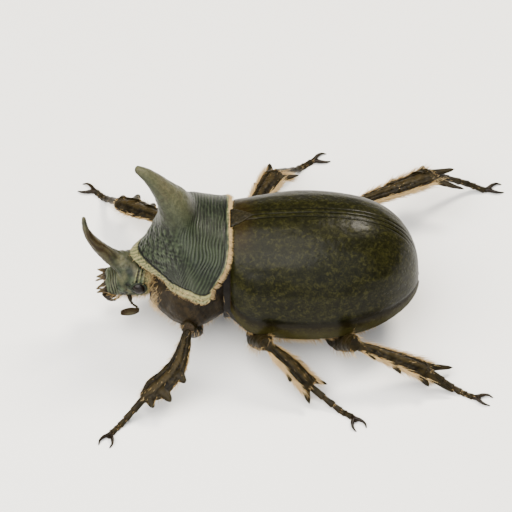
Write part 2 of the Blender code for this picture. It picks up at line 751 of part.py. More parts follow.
def main():
    clear_scene()
    rooms = {limb.name: make_limb(limb) for limb in LIMBS}
    make_hind_body(rooms)
    make_prothorax(rooms)
    make_head()
    centre_on_floor()


main()
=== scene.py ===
"""The looks of a life-size male rhinoceros beetle of the Enema kind, a still museum model.

The beetle faces -X with its left side towards -Y. Shapes are worked out in the body frame, in millimetres:
x = 0 is the joint between pronotum and wing cases, y = 0 the plane of symmetry and z = 0 the floor.
"""

import logging
import math
from dataclasses import dataclass, field
from enum import Enum

import bpy
import numpy as np
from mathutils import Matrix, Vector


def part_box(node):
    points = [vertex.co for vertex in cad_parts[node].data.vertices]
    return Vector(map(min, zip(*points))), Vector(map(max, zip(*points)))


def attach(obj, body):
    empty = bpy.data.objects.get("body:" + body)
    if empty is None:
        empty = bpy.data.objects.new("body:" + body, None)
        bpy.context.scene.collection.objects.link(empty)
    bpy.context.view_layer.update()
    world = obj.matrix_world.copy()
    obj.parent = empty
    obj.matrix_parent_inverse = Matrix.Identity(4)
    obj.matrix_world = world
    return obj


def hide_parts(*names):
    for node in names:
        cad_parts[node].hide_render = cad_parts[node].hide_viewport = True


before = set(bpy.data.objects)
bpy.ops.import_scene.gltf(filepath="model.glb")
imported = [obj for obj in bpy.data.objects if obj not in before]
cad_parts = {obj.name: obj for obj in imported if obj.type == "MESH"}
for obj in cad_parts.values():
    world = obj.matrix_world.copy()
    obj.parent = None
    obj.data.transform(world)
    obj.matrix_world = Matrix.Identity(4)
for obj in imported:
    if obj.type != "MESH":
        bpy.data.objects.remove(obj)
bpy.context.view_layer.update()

LOG = logging.getLogger("rhinoceros_beetle")
Array = np.ndarray
Point = tuple[float, float, float]
Rows = tuple[tuple[float, ...], ...]
Colour = tuple[float, float, float, float]

MM = 0.001
BODY = "root"
CASE_FRONT = 0.1  # the wing cases' front edge in the body frame
SHARP_ANGLE = 70  # degrees between faces, past which an edge is shaded sharp
CHITIN_IOR = 1.5


class Slot(Enum):
    """The record's material slots."""

    WING_CASE = "wing_case"
    SHIELD = "shield"
    LIMB = "limb"
    BELLY = "belly"
    CLAW = "claw"
    EYE = "eye"


class Side(Enum):
    """Left and right, as the sign of y."""

    LEFT = -1
    RIGHT = 1

    @property
    def word(self) -> str:
        """The side's name, as the solids use it."""
        return self.name.lower()


class Cap(Enum):
    """How the ends of a ring surface are closed."""

    FAN = "to a point in the ring's middle"
    ZIP = "from the ring's first half to its second half"


# ---- curves and relief ----


def curve_through(points: Array, count: int) -> Array:
    """A Catmull-Rom curve: each span is the cubic whose end slopes are half the chord between neighbours.

    Args:
        points: the points that the curve passes, one to a row.
        count: how many points to return, evenly spread over the spans.

    Returns:
        Points on the curve, one to a row.
    """
    points = np.asarray(points, float)
    ends = np.vstack([2 * points[0] - points[1], points, 2 * points[-1] - points[-2]])
    place = np.linspace(0, len(points) - 1, count)
    index = np.minimum(place.astype(int), len(points) - 2)
    t = (place - index)[:, None]
    a, b, c, d = (ends[index + k] for k in range(4))
    return b + 0.5 * t * (c - a + t * (2 * a - 5 * b + 4 * c - d + t * (3 * b - a - 3 * c + d)))


def along(place: Array, stations: Rows) -> Array:
    """Reads values off a smooth curve through stations.

    Args:
        place: where to read, of any shape.
        stations: rows of (place, value, value, ...) in rising order of place.

    Returns:
        The values, in a last axis added to the shape of place.
    """
    dense = curve_through(stations, 60 * len(stations))
    return np.stack([np.interp(place, dense[:, 0], dense[:, k]) for k in range(1, dense.shape[1])], -1)


def power(value: Array, exponent: float | Array) -> Array:
    """A signed power, which rounds the square of a superellipse."""
    return np.sign(value) * np.abs(value) ** exponent


def circle(count: int) -> Array:
    """Angles evenly spread over a whole turn."""
    return np.linspace(0, 2 * math.pi, count, endpoint=False)


def unit(vectors: Array) -> Array:
    """Vectors at length one, along the last axis."""
    vectors = np.asarray(vectors, float)
    return vectors / np.maximum(np.linalg.norm(vectors, axis=-1, keepdims=True), 1e-9)


def ease(value: Array, low: float, high: float) -> Array:
    """0 below low, 1 above high, and the cubic 3t^2 - 2t^3 between them. low may be above high."""
    t = np.clip((np.asarray(value, float) - low) / (high - low), 0, 1)
    return t * t * (3 - 2 * t)


def hump(value: Array, middle: float, half_width: float) -> Array:
    """A bell of height 1: the exponential of minus the squared distance from middle in half widths."""
    return np.exp(-(((value - middle) / half_width) ** 2))


@dataclass(frozen=True)
class Ripple:
    """Smooth random relief: a sum of plane waves of about one length, in random directions and phases."""

    wavelength: float
    seed: int
    waves: int = 28

    def at(self, points: Array) -> Array:
        """The relief at points in millimetres, mostly between -1 and 1."""
        random = np.random.default_rng(self.seed)
        heading = unit(random.normal(size=(self.waves, 3)))
        stretch = random.uniform(0.7, 1.3, (self.waves, 1))
        phase = random.uniform(0, 2 * math.pi, self.waves)
        turns = points @ (heading * stretch * 2 * math.pi / self.wavelength).T
        return np.cos(turns + phase).sum(-1) * math.sqrt(1.0 / self.waves)


# ---- surfaces ----


@dataclass
class Surface:
    """A closed skin of rings. Points are rows x columns x 3 in body millimetres. Each ring closes on itself.

    Masks are rows x columns numbers that the finishes read, such as where a pale collar lies."""

    points: Array
    masks: dict[str, Array] = field(default_factory=dict)
    cap: Cap = Cap.FAN

    def steps(self) -> tuple[Array, Array]:
        """The directions along the rows and round the rings, by central differences."""
        down = np.gradient(self.points, axis=0)
        around = np.roll(self.points, -1, axis=1) - np.roll(self.points, 1, axis=1)
        return down, around

    def normals(self) -> Array:
        """Unit normals pointing out of the volume."""
        down, around = self.steps()
        normal = unit(np.cross(down, around))
        return normal if self.volume() > 0 else -normal

    def volume(self) -> float:
        """Six times the volume but for the caps, by the divergence theorem.

        It is positive where down x around points outwards."""
        down, around = self.steps()
        centre = self.points.mean((0, 1))
        return float(np.sum((self.points - centre) * np.cross(down, around)))

    def raise_by(self, height: Array) -> "Surface":
        """Moves each point along its normal by height in millimetres."""
        self.points = self.points + self.normals() * np.asarray(height)[..., None]
        return self

    def faces(self, start: int) -> list[tuple[int, ...]]:
        """The faces, with the surface's first vertex numbered start.

        Returns:
            Quads between rings and the caps' faces, all facing outwards.
        """
        rows, count = self.points.shape[:2]
        grid = start + np.arange(rows * count).reshape(rows, count)
        right = np.roll(grid, -1, axis=1)
        quads = np.stack([grid[:-1], grid[1:], right[1:], right[:-1]], -1).reshape(-1, 4)
        faces = [tuple(quad) for quad in quads.tolist()]
        ends = ((grid[0], right[0], True), (grid[-1], right[-1], False))
        if self.cap is Cap.FAN:
            for number, (ring, following, turned) in enumerate(ends):
                middle = start + rows * count + number
                first, second = (ring, following) if turned else (following, ring)
                faces += [(middle, *edge) for edge in zip(first.tolist(), second.tolist())]
        else:
            for ring, _, turned in ends:
                near, far = ring[: count // 2], ring[count // 2 :][::-1]
                strip = np.stack([near[:-1], near[1:], far[1:], far[:-1]], -1)
                faces += [tuple(quad) for quad in (strip if turned else strip[:, ::-1]).tolist()]
        if self.volume() < 0:
            faces = [face[::-1] for face in faces]
        return faces

    def vertices(self) -> Array:
        """All vertices: the rings' points, then the fans' middles."""
        flat = self.points.reshape(-1, 3)
        if self.cap is Cap.FAN:
            return np.vstack([flat, self.points[0].mean(0), self.points[-1].mean(0)])
        return flat

    def mask(self, name: str) -> Array:
        """One mask's values in the order of the vertices, zero where the surface has none."""
        rows, count = self.points.shape[:2]
        values = np.asarray(self.masks.get(name, np.zeros((rows, count))), float).reshape(rows, count)
        if self.cap is Cap.FAN:
            return np.append(values.ravel(), [values[0].mean(), values[-1].mean()])
        return values.ravel()


def tube(path: Array, wide: Array, thick: Array, side: Array, sides: int) -> Surface:
    """Ellipses carried along a path: at angle a, wide * cos a across it and thick * sin a along its normal.

    Args:
        path: the points of the centre line.
        wide: half sizes along side, one for each point.
        thick: half sizes square to that, one for each point.
        side: the direction of the width, made square to the path at each point.
        sides: points in each ring.

    Returns:
        The surface, its rings' angle 0 towards side.
    """
    tangent = unit(np.gradient(path, axis=0))
    side = np.broadcast_to(np.asarray(side, float), path.shape)
    across = unit(side - np.sum(side * tangent, -1, keepdims=True) * tangent)
    normal = np.cross(tangent, across)
    angle = circle(sides)
    wide, thick = (np.broadcast_to(np.asarray(half, float), len(path))[:, None] for half in (wide, thick))
    points = (
        path[:, None]
        + across[:, None] * (wide * np.cos(angle))[..., None]
        + normal[:, None] * (thick * np.sin(angle))[..., None]
    )
    return Surface(points)


def point_at(path: Array, place: float | Array) -> Array:
    """x, y and z at places along a path, counted in its rows, on the straight lines between its points."""
    return np.array([np.interp(place, range(len(path)), path[:, k]) for k in range(3)])


def z_of(points: Array) -> Array:
    """The heights of points."""
    return points[..., 2]


def stand_on_floor(surface: Surface) -> Surface:
    """Flattens what is below the floor up to it."""
    surface.points[..., 2] = np.maximum(surface.points[..., 2], 0.0)
    return surface


def ring_angle(surface: Surface) -> Array:
    """The angle of each point round its ring, one row."""
    return circle(surface.points.shape[1])[None]


def row_share(surface: Surface) -> Array:
    """The share of the surface's length at each row, one column."""
    return np.linspace(0, 1, len(surface.points))[:, None]


def round_ends(count: int, first: float, last: float) -> Array:
    """Factors that round a tube's ends: a quarter circle over its first and its last share."""
    place = np.linspace(0, 1, count)
    start = np.clip((first - place) / max(first, 1e-6), 0, 1)
    end = np.clip((place - 1 + last) / max(last, 1e-6), 0, 1)
    return np.sqrt(np.maximum(1 - start**2, 1e-4)) * np.sqrt(np.maximum(1 - end**2, 1e-4))


def bent_tube(bends: Array, sizes: Rows, side: Array, grid: tuple[int, int], blunt: float) -> Surface:
    """A tube along the curve through its bends, rounded at its far end.

    Args:
        bends: the points that its centre line passes, one to a row.
        sizes: rows of the share of the way, the half width and the half thickness.
        side: the direction of the width.
        grid: how many rings, and how many points in each.
        blunt: the share of the way over which the end is rounded.

    Returns:
        The surface.
    """
    rows, sides = grid
    wide, thick = np.moveaxis(along(np.linspace(0, 1, rows), sizes), -1, 0)
    ends = round_ends(rows, 0, blunt)
    return tube(curve_through(bends, rows), wide * ends, thick * ends, side, sides)


def ball(centre: Array, radii: Array, axis: Array, rows: int, sides: int) -> Surface:
    """An ellipsoid: circles of radius sin a at -cos a along its axis, each stretched by its own radius."""
    axis = unit(axis)
    latitude = np.linspace(0.03, math.pi - 0.03, rows)
    length, wide, thick = radii
    path = np.asarray(centre, float) - axis * (length * np.cos(latitude))[:, None]
    side = (1, 0, 0) if abs(axis[0]) < 0.8 else (0, 0, 1)
    return tube(path, wide * np.sin(latitude), thick * np.sin(latitude), side, sides)


def spike(
    root: Array,
    tip: Array,
    half: float,
    flat: float,
    side: Array,
    bend: Array | Point,
    blunt: float = 0.7,
) -> Surface:
    """A tooth or spine: a cone with a flared foot, bowed by a parabola that is bend at the middle.

    Args:
        root: the middle of its foot, inside what it grows from.
        tip: its point.
        half: half width of the foot along side.
        flat: thickness as a share of the width.
        side: the direction of the width.
        bend: how far the middle of the spine bows, in millimetres.
        blunt: the power by which it tapers: 1 is a straight cone, and less is a lobe.

    Returns:
        The surface, its end rounded to a blunt point.
    """
    way = np.linspace(0, 1, 22)
    root, tip = np.asarray(root, float), np.asarray(tip, float)
    path = root + (tip - root) * way[:, None] + np.asarray(bend, float) * (4 * way * (1 - way))[:, None]
    size = half * (0.8 * (1 - way) ** blunt + 0.5 * np.exp(-way / 0.15)) * round_ends(22, 0, 0.15) + 0.02
    return tube(path, size, flat * size, side, 16)


# ---- pieces ----


def body_shift() -> Array:
    """The body frame's origin in the world, in millimetres: the wing cases' front edge and their suture."""
    left_low, left_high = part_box("elytron_left")
    right_low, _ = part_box("elytron_right")
    return np.array([left_low[0] / MM - CASE_FRONT, (left_high[1] + right_low[1]) / (2 * MM), 0.0])


SHIFT = body_shift()


def add_piece(
    name: str,
    surfaces: list[Surface],
    finish: bpy.types.Material,
    nodes: tuple[str, ...] = (),
) -> bpy.types.Object:
    """Makes one mesh object from surfaces and puts it on the model.

    Args:
        name: the piece's name.
        surfaces: closed skins, joined in one mesh.
        finish: the material of all of it.
        nodes: the solids that it stands for.

    Returns:
        The object, at the origin with its place in its mesh.
    """
    starts = np.cumsum([0] + [len(surface.vertices()) for surface in surfaces])
    points = np.vstack([surface.vertices() for surface in surfaces])
    faces = [face for surface, start in zip(surfaces, starts) for face in surface.faces(int(start))]
    mesh = bpy.data.meshes.new(name)
    mesh.from_pydata(((points + SHIFT) * MM).tolist(), [], faces)
    for mask in sorted({key for surface in surfaces for key in surface.masks}):
        values = np.concatenate([surface.mask(mask) for surface in surfaces])
        mesh.attributes.new(mask, "FLOAT", "POINT").data.foreach_set("value", values.astype(np.float32))
    mesh.materials.append(finish)
    mesh.shade_smooth()
    mesh.set_sharp_from_angle(angle=math.radians(SHARP_ANGLE))
    return place_piece(bpy.data.objects.new(name, mesh), nodes)


def place_piece(piece: bpy.types.Object, nodes: tuple[str, ...] = ()) -> bpy.types.Object:
    """Links a piece, rides it on the body and hides the solids that it stands for."""
    bpy.context.scene.collection.objects.link(piece)
    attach(piece, BODY)
    if nodes:
        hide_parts(*nodes)
    LOG.info("%s: %d faces", piece.name, len(piece.data.polygons))
    return piece


# ---- finishes ----


def linear(code: str) -> Colour:
    """An sRGB hex code as linear red, green, blue and alpha."""
    parts = [int(code[k : k + 2], 16) / 255 for k in (1, 3, 5)]
    red, green, blue = (c / 12.92 if c <= 0.04045 else ((c + 0.055) / 1.055) ** 2.4 for c in parts)
    return (red, green, blue, 1.0)


def add_node(
    tree: bpy.types.NodeTree, kind: str, inputs: dict[int | str, object] | None = None, **settings: object
) -> bpy.types.Node:
    """Adds one node.

    Args:
        tree: the material's nodes.
        kind: the node's type.
        inputs: for each input, by name or number, a value or the output that feeds it.
        settings: the node's properties.

    Returns:
        The node.
    """
    made = tree.nodes.new(kind)
    for key, value in settings.items():
        setattr(made, key, value)
    for key, value in (inputs or {}).items():
        if isinstance(value, bpy.types.NodeSocket):
            tree.links.new(value, made.inputs[key])
        else:
            made.inputs[key].default_value = value
    return made


def blank_material(name: str) -> bpy.types.Material:
    """A material whose nodes are cleared."""
    made = bpy.data.materials.new(name)
    made.use_nodes = True
    made.node_tree.nodes.clear()
    return made


def per_metre(millimetres: float) -> float:
    """The scale of a pattern on Object coordinates, which are metres, for a grain of this size."""
    return 1 / (millimetres * MM)


@dataclass(frozen=True)
class Chitin:
    """Beetle cuticle: sclerotised chitin under a thin wax film, so it is semi-glossy with soft highlights.

    The colour darkens in worm-like mottling and lightens on raised places, as painted highlight and wear, and
    painted shade darkens it in the relief's hollows. Where the mask "pale" is set it is a cream, stippled
    border, and where "tan" is set it is thin and shows brown."""

    name: str
    body: str
    # shade: the mottling's dark colour, and the painted shade in the relief's hollows
    shade: str
    # glow: the pale clouds and flecks, and the painted highlight on raised places
    glow: str
    mottle_mm: float = 1.1  # width of the mottling's worms
    mottle: float = 0.6
    patch_mm: float = 7.0  # size of the soft clouds of colour
    grain_mm: float = 0.16
    pit_mm: float = 0.5  # spacing of the punctures
    pit_depth: float = 0.5
    relief_mm: float = 0.08  # how deep the grain and the punctures look
    cloud: float = 0.3  # how strongly the clouds show
    cell_mm: float = 0.62  # spacing of the dark dots in the cream border
    roughness: float = 0.42
    gloss: float = 0.1
    coat: float = 0.05  # the wax film
    coat_roughness: float = 0.25
    pale: str = "#77744f"
    tan: str = "#2a1a08"
    # the colour of wear, and of painted highlight where a piece's mask paints one
    worn: str = "#4b4834"

    def patterns(self, tree: bpy.types.NodeTree) -> dict[str, bpy.types.NodeSocket]:
        """Adds the finish's textures and reads its masks.

        Args:
            tree: the material's nodes.

        Returns:
            By name, how strongly each pattern shows.
        """
        place = add_node(tree, "ShaderNodeTexCoord").outputs["Object"]
        found = {}
        for mask in ("relief", "pale", "tan", "worn"):
            found[mask] = add_node(tree, "ShaderNodeAttribute", attribute_name=mask).outputs["Fac"]
        noises = {
            # size of the grain in millimetres, and the other settings
            "clouds": (self.patch_mm, {"Detail": 3.0}),
            "worms": (self.mottle_mm * 1.6, {"Detail": 2.0, "Distortion": 1.6}),
            "blots": (self.mottle_mm * 1.2, {"Detail": 1.5, "Distortion": 0.7}),
            "grain": (self.grain_mm, {"Detail": 4.0, "Roughness": 0.6}),
        }
        for name, (size, settings) in noises.items():
            inputs = {"Vector": place, "Scale": per_metre(size), **settings}
            found[name] = add_node(tree, "ShaderNodeTexNoise", inputs).outputs["Fac"]
        for name, size in (("pits", self.pit_mm), ("cells", self.cell_mm)):
            inputs = {"Vector": place, "Scale": per_metre(size)}
            found[name] = add_node(tree, "ShaderNodeTexVoronoi", inputs).outputs["Distance"]
        uneven = add_node(tree, "ShaderNodeMath", {0: found["worms"], 1: 0.5}, operation="SUBTRACT")
        uneven = add_node(tree, "ShaderNodeMath", {0: uneven.outputs[0]}, operation="ABSOLUTE")
        found["ridge"] = uneven.outputs[0]
        ramps = {
            # what it reads, the two values between which it runs, what it gives at each, and how it runs
            "worm": ("ridge", 0.075, 0.01, 0.0, self.mottle, "SMOOTHSTEP"),
            "dark_blot": ("blots", 0.53, 0.62, 0.0, self.mottle, "SMOOTHSTEP"),
            "fleck": ("blots", 0.47, 0.37, 0.0, self.mottle, "SMOOTHSTEP"),
            "cloud": ("clouds", 0.42, 0.66, 0.0, self.cloud, "SMOOTHSTEP"),
            # painted shade: darker in the relief's hollows
            "hollow": ("relief", 0.0, -0.07, 0.0, 0.85, "LINEAR"),
            # painted highlight, standing partly for wear: paler on raised places
            "raised": ("relief", 0.01, 0.09, 0.0, 0.6, "LINEAR"),
            "speck": ("cells", 0.26, 0.42, 0.2, 1.0, "SMOOTHSTEP"),
            "dimple": ("pits", 0.12, 0.34, 0.0, self.pit_depth, "SMOOTHSTEP"),
            "rough": ("grain", 0.3, 0.7, self.roughness - 0.07, self.roughness + 0.1, "LINEAR"),
        }
        for name, (source, start, end, low, high, way) in ramps.items():
            inputs = {"Value": found[source], "From Min": start, "From Max": end}
            inputs |= {"To Min": low, "To Max": high}
            found[name] = add_node(tree, "ShaderNodeMapRange", inputs, interpolation_type=way).outputs[0]
        joined = {
            "dark": ("worm", "dark_blot", "MAXIMUM"),
            "light": ("cloud", "fleck", "MAXIMUM"),
            "stipple": ("pale", "speck", "MULTIPLY"),
        }
        for name, (one, other, operation) in joined.items():
            inputs = {0: found[one], 1: found[other]}
            found[name] = add_node(tree, "ShaderNodeMath", inputs, operation=operation).outputs[0]
        return found

    def material(self) -> bpy.types.Material:
        """Builds the finish: colours laid over each other in turn, and the grain and punctures as bumps."""
        made = blank_material(self.name)
        tree = made.node_tree
        pattern = self.patterns(tree)
        layers = (
            ("worn", self.worn),
            ("light", self.glow),
            ("dark", self.shade),
            # hollow lays painted shade in the hollows, and raised a painted highlight, partly wear, on raised
            # places
            ("hollow", self.shade),
            ("raised", self.glow),
            ("tan", self.tan),
            ("stipple", self.pale),
        )
        colour = linear(self.body)
        for name, code in layers:
            inputs = {0: pattern[name], 6: colour, 7: linear(code)}
            colour = add_node(tree, "ShaderNodeMix", inputs, data_type="RGBA").outputs[2]
        inputs = {0: pattern["grain"], 1: 0.35, 2: pattern["dimple"]}
        height = add_node(tree, "ShaderNodeMath", inputs, operation="MULTIPLY_ADD").outputs[0]
        inputs = {"Height": height, "Strength": 0.8, "Distance": self.relief_mm * MM}
        bump = add_node(tree, "ShaderNodeBump", inputs).outputs[0]
        shader = add_node(
            tree,
            "ShaderNodeBsdfPrincipled",
            {
                "Base Color": colour,
                "Roughness": pattern["rough"],
                "Normal": bump,
                "IOR": CHITIN_IOR,
                "Specular IOR Level": self.gloss,
                "Coat Weight": self.coat,
                "Coat Roughness": self.coat_roughness,
            },
        )
        add_node(tree, "ShaderNodeOutputMaterial", {"Surface": shader.outputs[0]})
        return made


@dataclass(frozen=True)
class Hair:
    """Setae: fine hollow chitin hairs, golden where thin and darker at the root, with a soft satin gloss.

    The mask "tone" changes from hair to hair and "way" runs from the root, 0, to the tip, 1."""

    name: str
    root: str
    tip: str
    old: str
    gloss: float = 0.3
    roughness: float = 0.5
    fibre_mm: float = 0.2  # length of the streaks in its gloss
    ageing: float = 0.6  # how far the oldest hair turns to the old colour

    def material(self) -> bpy.types.Material:
        """Builds the finish."""
        made = blank_material(self.name)
        tree = made.node_tree
        place = add_node(tree, "ShaderNodeTexCoord").outputs["Object"]
        tone = add_node(tree, "ShaderNodeAttribute", attribute_name="tone").outputs["Fac"]
        way = add_node(tree, "ShaderNodeAttribute", attribute_name="way").outputs["Fac"]
        fibre = add_node(
            tree, "ShaderNodeTexNoise", {"Vector": place, "Scale": per_metre(self.fibre_mm), "Detail": 2.0}
        ).outputs["Fac"]
        colour = add_node(
            tree, "ShaderNodeMix", {0: way, 6: linear(self.root), 7: linear(self.tip)}, data_type="RGBA"
        ).outputs[2]
        aged = add_node(tree, "ShaderNodeMath", {0: tone, 1: self.ageing}, operation="MULTIPLY").outputs[0]
        colour = add_node(
            tree, "ShaderNodeMix", {0: aged, 6: colour, 7: linear(self.old)}, data_type="RGBA"
        ).outputs[2]
        rough = add_node(
            tree,
            "ShaderNodeMapRange",
            {"Value": fibre, "To Min": self.roughness - 0.1, "To Max": self.roughness + 0.1},
        ).outputs[0]
        inputs = {"Height": fibre, "Strength": 0.3, "Distance": 0.01 * MM}
        bump = add_node(tree, "ShaderNodeBump", inputs).outputs[0]
        shader = add_node(
            tree,
            "ShaderNodeBsdfPrincipled",
            {
                "Base Color": colour,
                "Roughness": rough,
                "Normal": bump,
                "IOR": 1.55,
                "Specular IOR Level": self.gloss,
                "Sheen Weight": 0.05,
            },
        )
        add_node(tree, "ShaderNodeOutputMaterial", {"Surface": shader.outputs[0]})
        return made


@dataclass(frozen=True)
class EyeGlass:
    """A compound eye's corneas: near-black and glossy, in lenses drawn 0.11 mm wide so that they show."""

    name: str = "compound_eye_cornea"
    deep: str = "#060403"
    shine: str = "#150f0a"
    lens_mm: float = 0.11
    tint_mm: float = 0.9  # size of the clouds in its black

    def material(self) -> bpy.types.Material:
        """Builds the finish."""
        made = blank_material(self.name)
        tree = made.node_tree
        place = add_node(tree, "ShaderNodeTexCoord").outputs["Object"]
        inputs = {"Vector": place, "Scale": per_metre(self.lens_mm), "Randomness": 0.25}
        lens = add_node(tree, "ShaderNodeTexVoronoi", inputs).outputs["Distance"]
        inputs = {"Vector": place, "Scale": per_metre(self.tint_mm), "Detail": 2.0}
        tint = add_node(tree, "ShaderNodeTexNoise", inputs).outputs["Fac"]
        colour = add_node(
            tree, "ShaderNodeMix", {0: tint, 6: linear(self.deep), 7: linear(self.shine)}, data_type="RGBA"
        ).outputs[2]
        domed = add_node(tree, "ShaderNodeMath", {0: 1.0, 1: lens}, operation="SUBTRACT").outputs[0]
        inputs = {"Value": lens, "To Min": 0.15, "To Max": 0.35}
        rough = add_node(tree, "ShaderNodeMapRange", inputs).outputs[0]
        inputs = {"Height": domed, "Strength": 0.5, "Distance": 0.02 * MM}
        bump = add_node(tree, "ShaderNodeBump", inputs).outputs[0]
        shader = add_node(
            tree,
            "ShaderNodeBsdfPrincipled",
            {
                "Base Color": colour,
                "Roughness": rough,
                "Normal": bump,
                "IOR": CHITIN_IOR,
                "Specular IOR Level": 0.15,
                "Coat Weight": 0.02,
                "Coat Roughness": 0.1,
            },
        )
        add_node(tree, "ShaderNodeOutputMaterial", {"Surface": shader.outputs[0]})
        return made


class Finishes:
    """Every finish of the beetle, each built once."""

    def __init__(self) -> None:
        """Builds them."""
        # Wing cases: olive-brown chitin with fine dark and pale flecks and punctures
        self.case = Chitin(
            "wing_case_chitin", "#151506", "#060601", "#292810", mottle_mm=0.66, mottle=0.65, pit_mm=0.62,
            roughness=0.38, gloss=0.03, coat=0.115,
        ).material()
        # Pronotum, horns and head: grey-green chitin, paler on the raised places by painted highlight and
        # wear
        self.shield = Chitin(
            "shield_chitin", "#131810", "#050604", "#3d4633", mottle_mm=0.7, mottle=0.3, patch_mm=5.0,
            pit_mm=0.42, pit_depth=0.3,
        ).material()
        # Scutellum: the shield's cuticle, as brown as the wing cases beside it
        self.plate = Chitin(
            "scutellum_chitin", "#17140a", "#050402", "#2b2614", mottle_mm=0.5, mottle=0.5, pit_mm=0.4
        ).material()
        # Legs: warm olive-brown chitin, browner where it is thin
        self.limb = Chitin(
            "limb_chitin", "#191509", "#060402", "#322915", mottle=0.4, patch_mm=3.0, pit_mm=0.36, gloss=0.06,
            coat=0.02,
        ).material()
        # Underside: duller brown chitin
        self.belly = Chitin(
            "belly_chitin", "#171107", "#060402", "#2e2412", mottle=0.4, pit_mm=0.45, roughness=0.48, coat=0.0
        ).material()
        # Claws and jaws: dark, hard and polished by wear
        self.claw = Chitin(
            "claw_chitin", "#130d06", "#060401", "#2c2110", mottle=0.3, pit_mm=0.3, pit_depth=0.15,
            roughness=0.3,
        ).material()
        # Setae: golden on the body and legs, and brown with pale tips in the tufts before the face
        self.hair = Hair("golden_setae", "#7d6130", "#e0c48e", "#b8975e").material()
        self.bristle = Hair("dark_bristles", "#0d0803", "#6f5c35", "#1a1108", gloss=0.15).material()
        self.eye = EyeGlass().material()


# ---- wing cases ----


@dataclass(frozen=True)
class Swelling:
    """A low bell-shaped rise of a wing case, placed along x and by the angle across."""

    height: float
    x: float
    x_half: float
    angle: float
    angle_half: float

    def at(self, x: Array, angle: Array) -> Array:
        """The rise there: its height times a bell along x and a bell across."""
        return self.height * hump(x, self.x, self.x_half) * hump(angle, self.angle, self.angle_half)


def open_normals(points: Array, outward: Array) -> Array:
    """Unit normals of an open grid of points, by central differences, turned towards outward on average."""
    normal = unit(np.cross(np.gradient(points, axis=0), np.gradient(points, axis=1)))
    return normal if float((normal * outward).sum()) > 0 else -normal


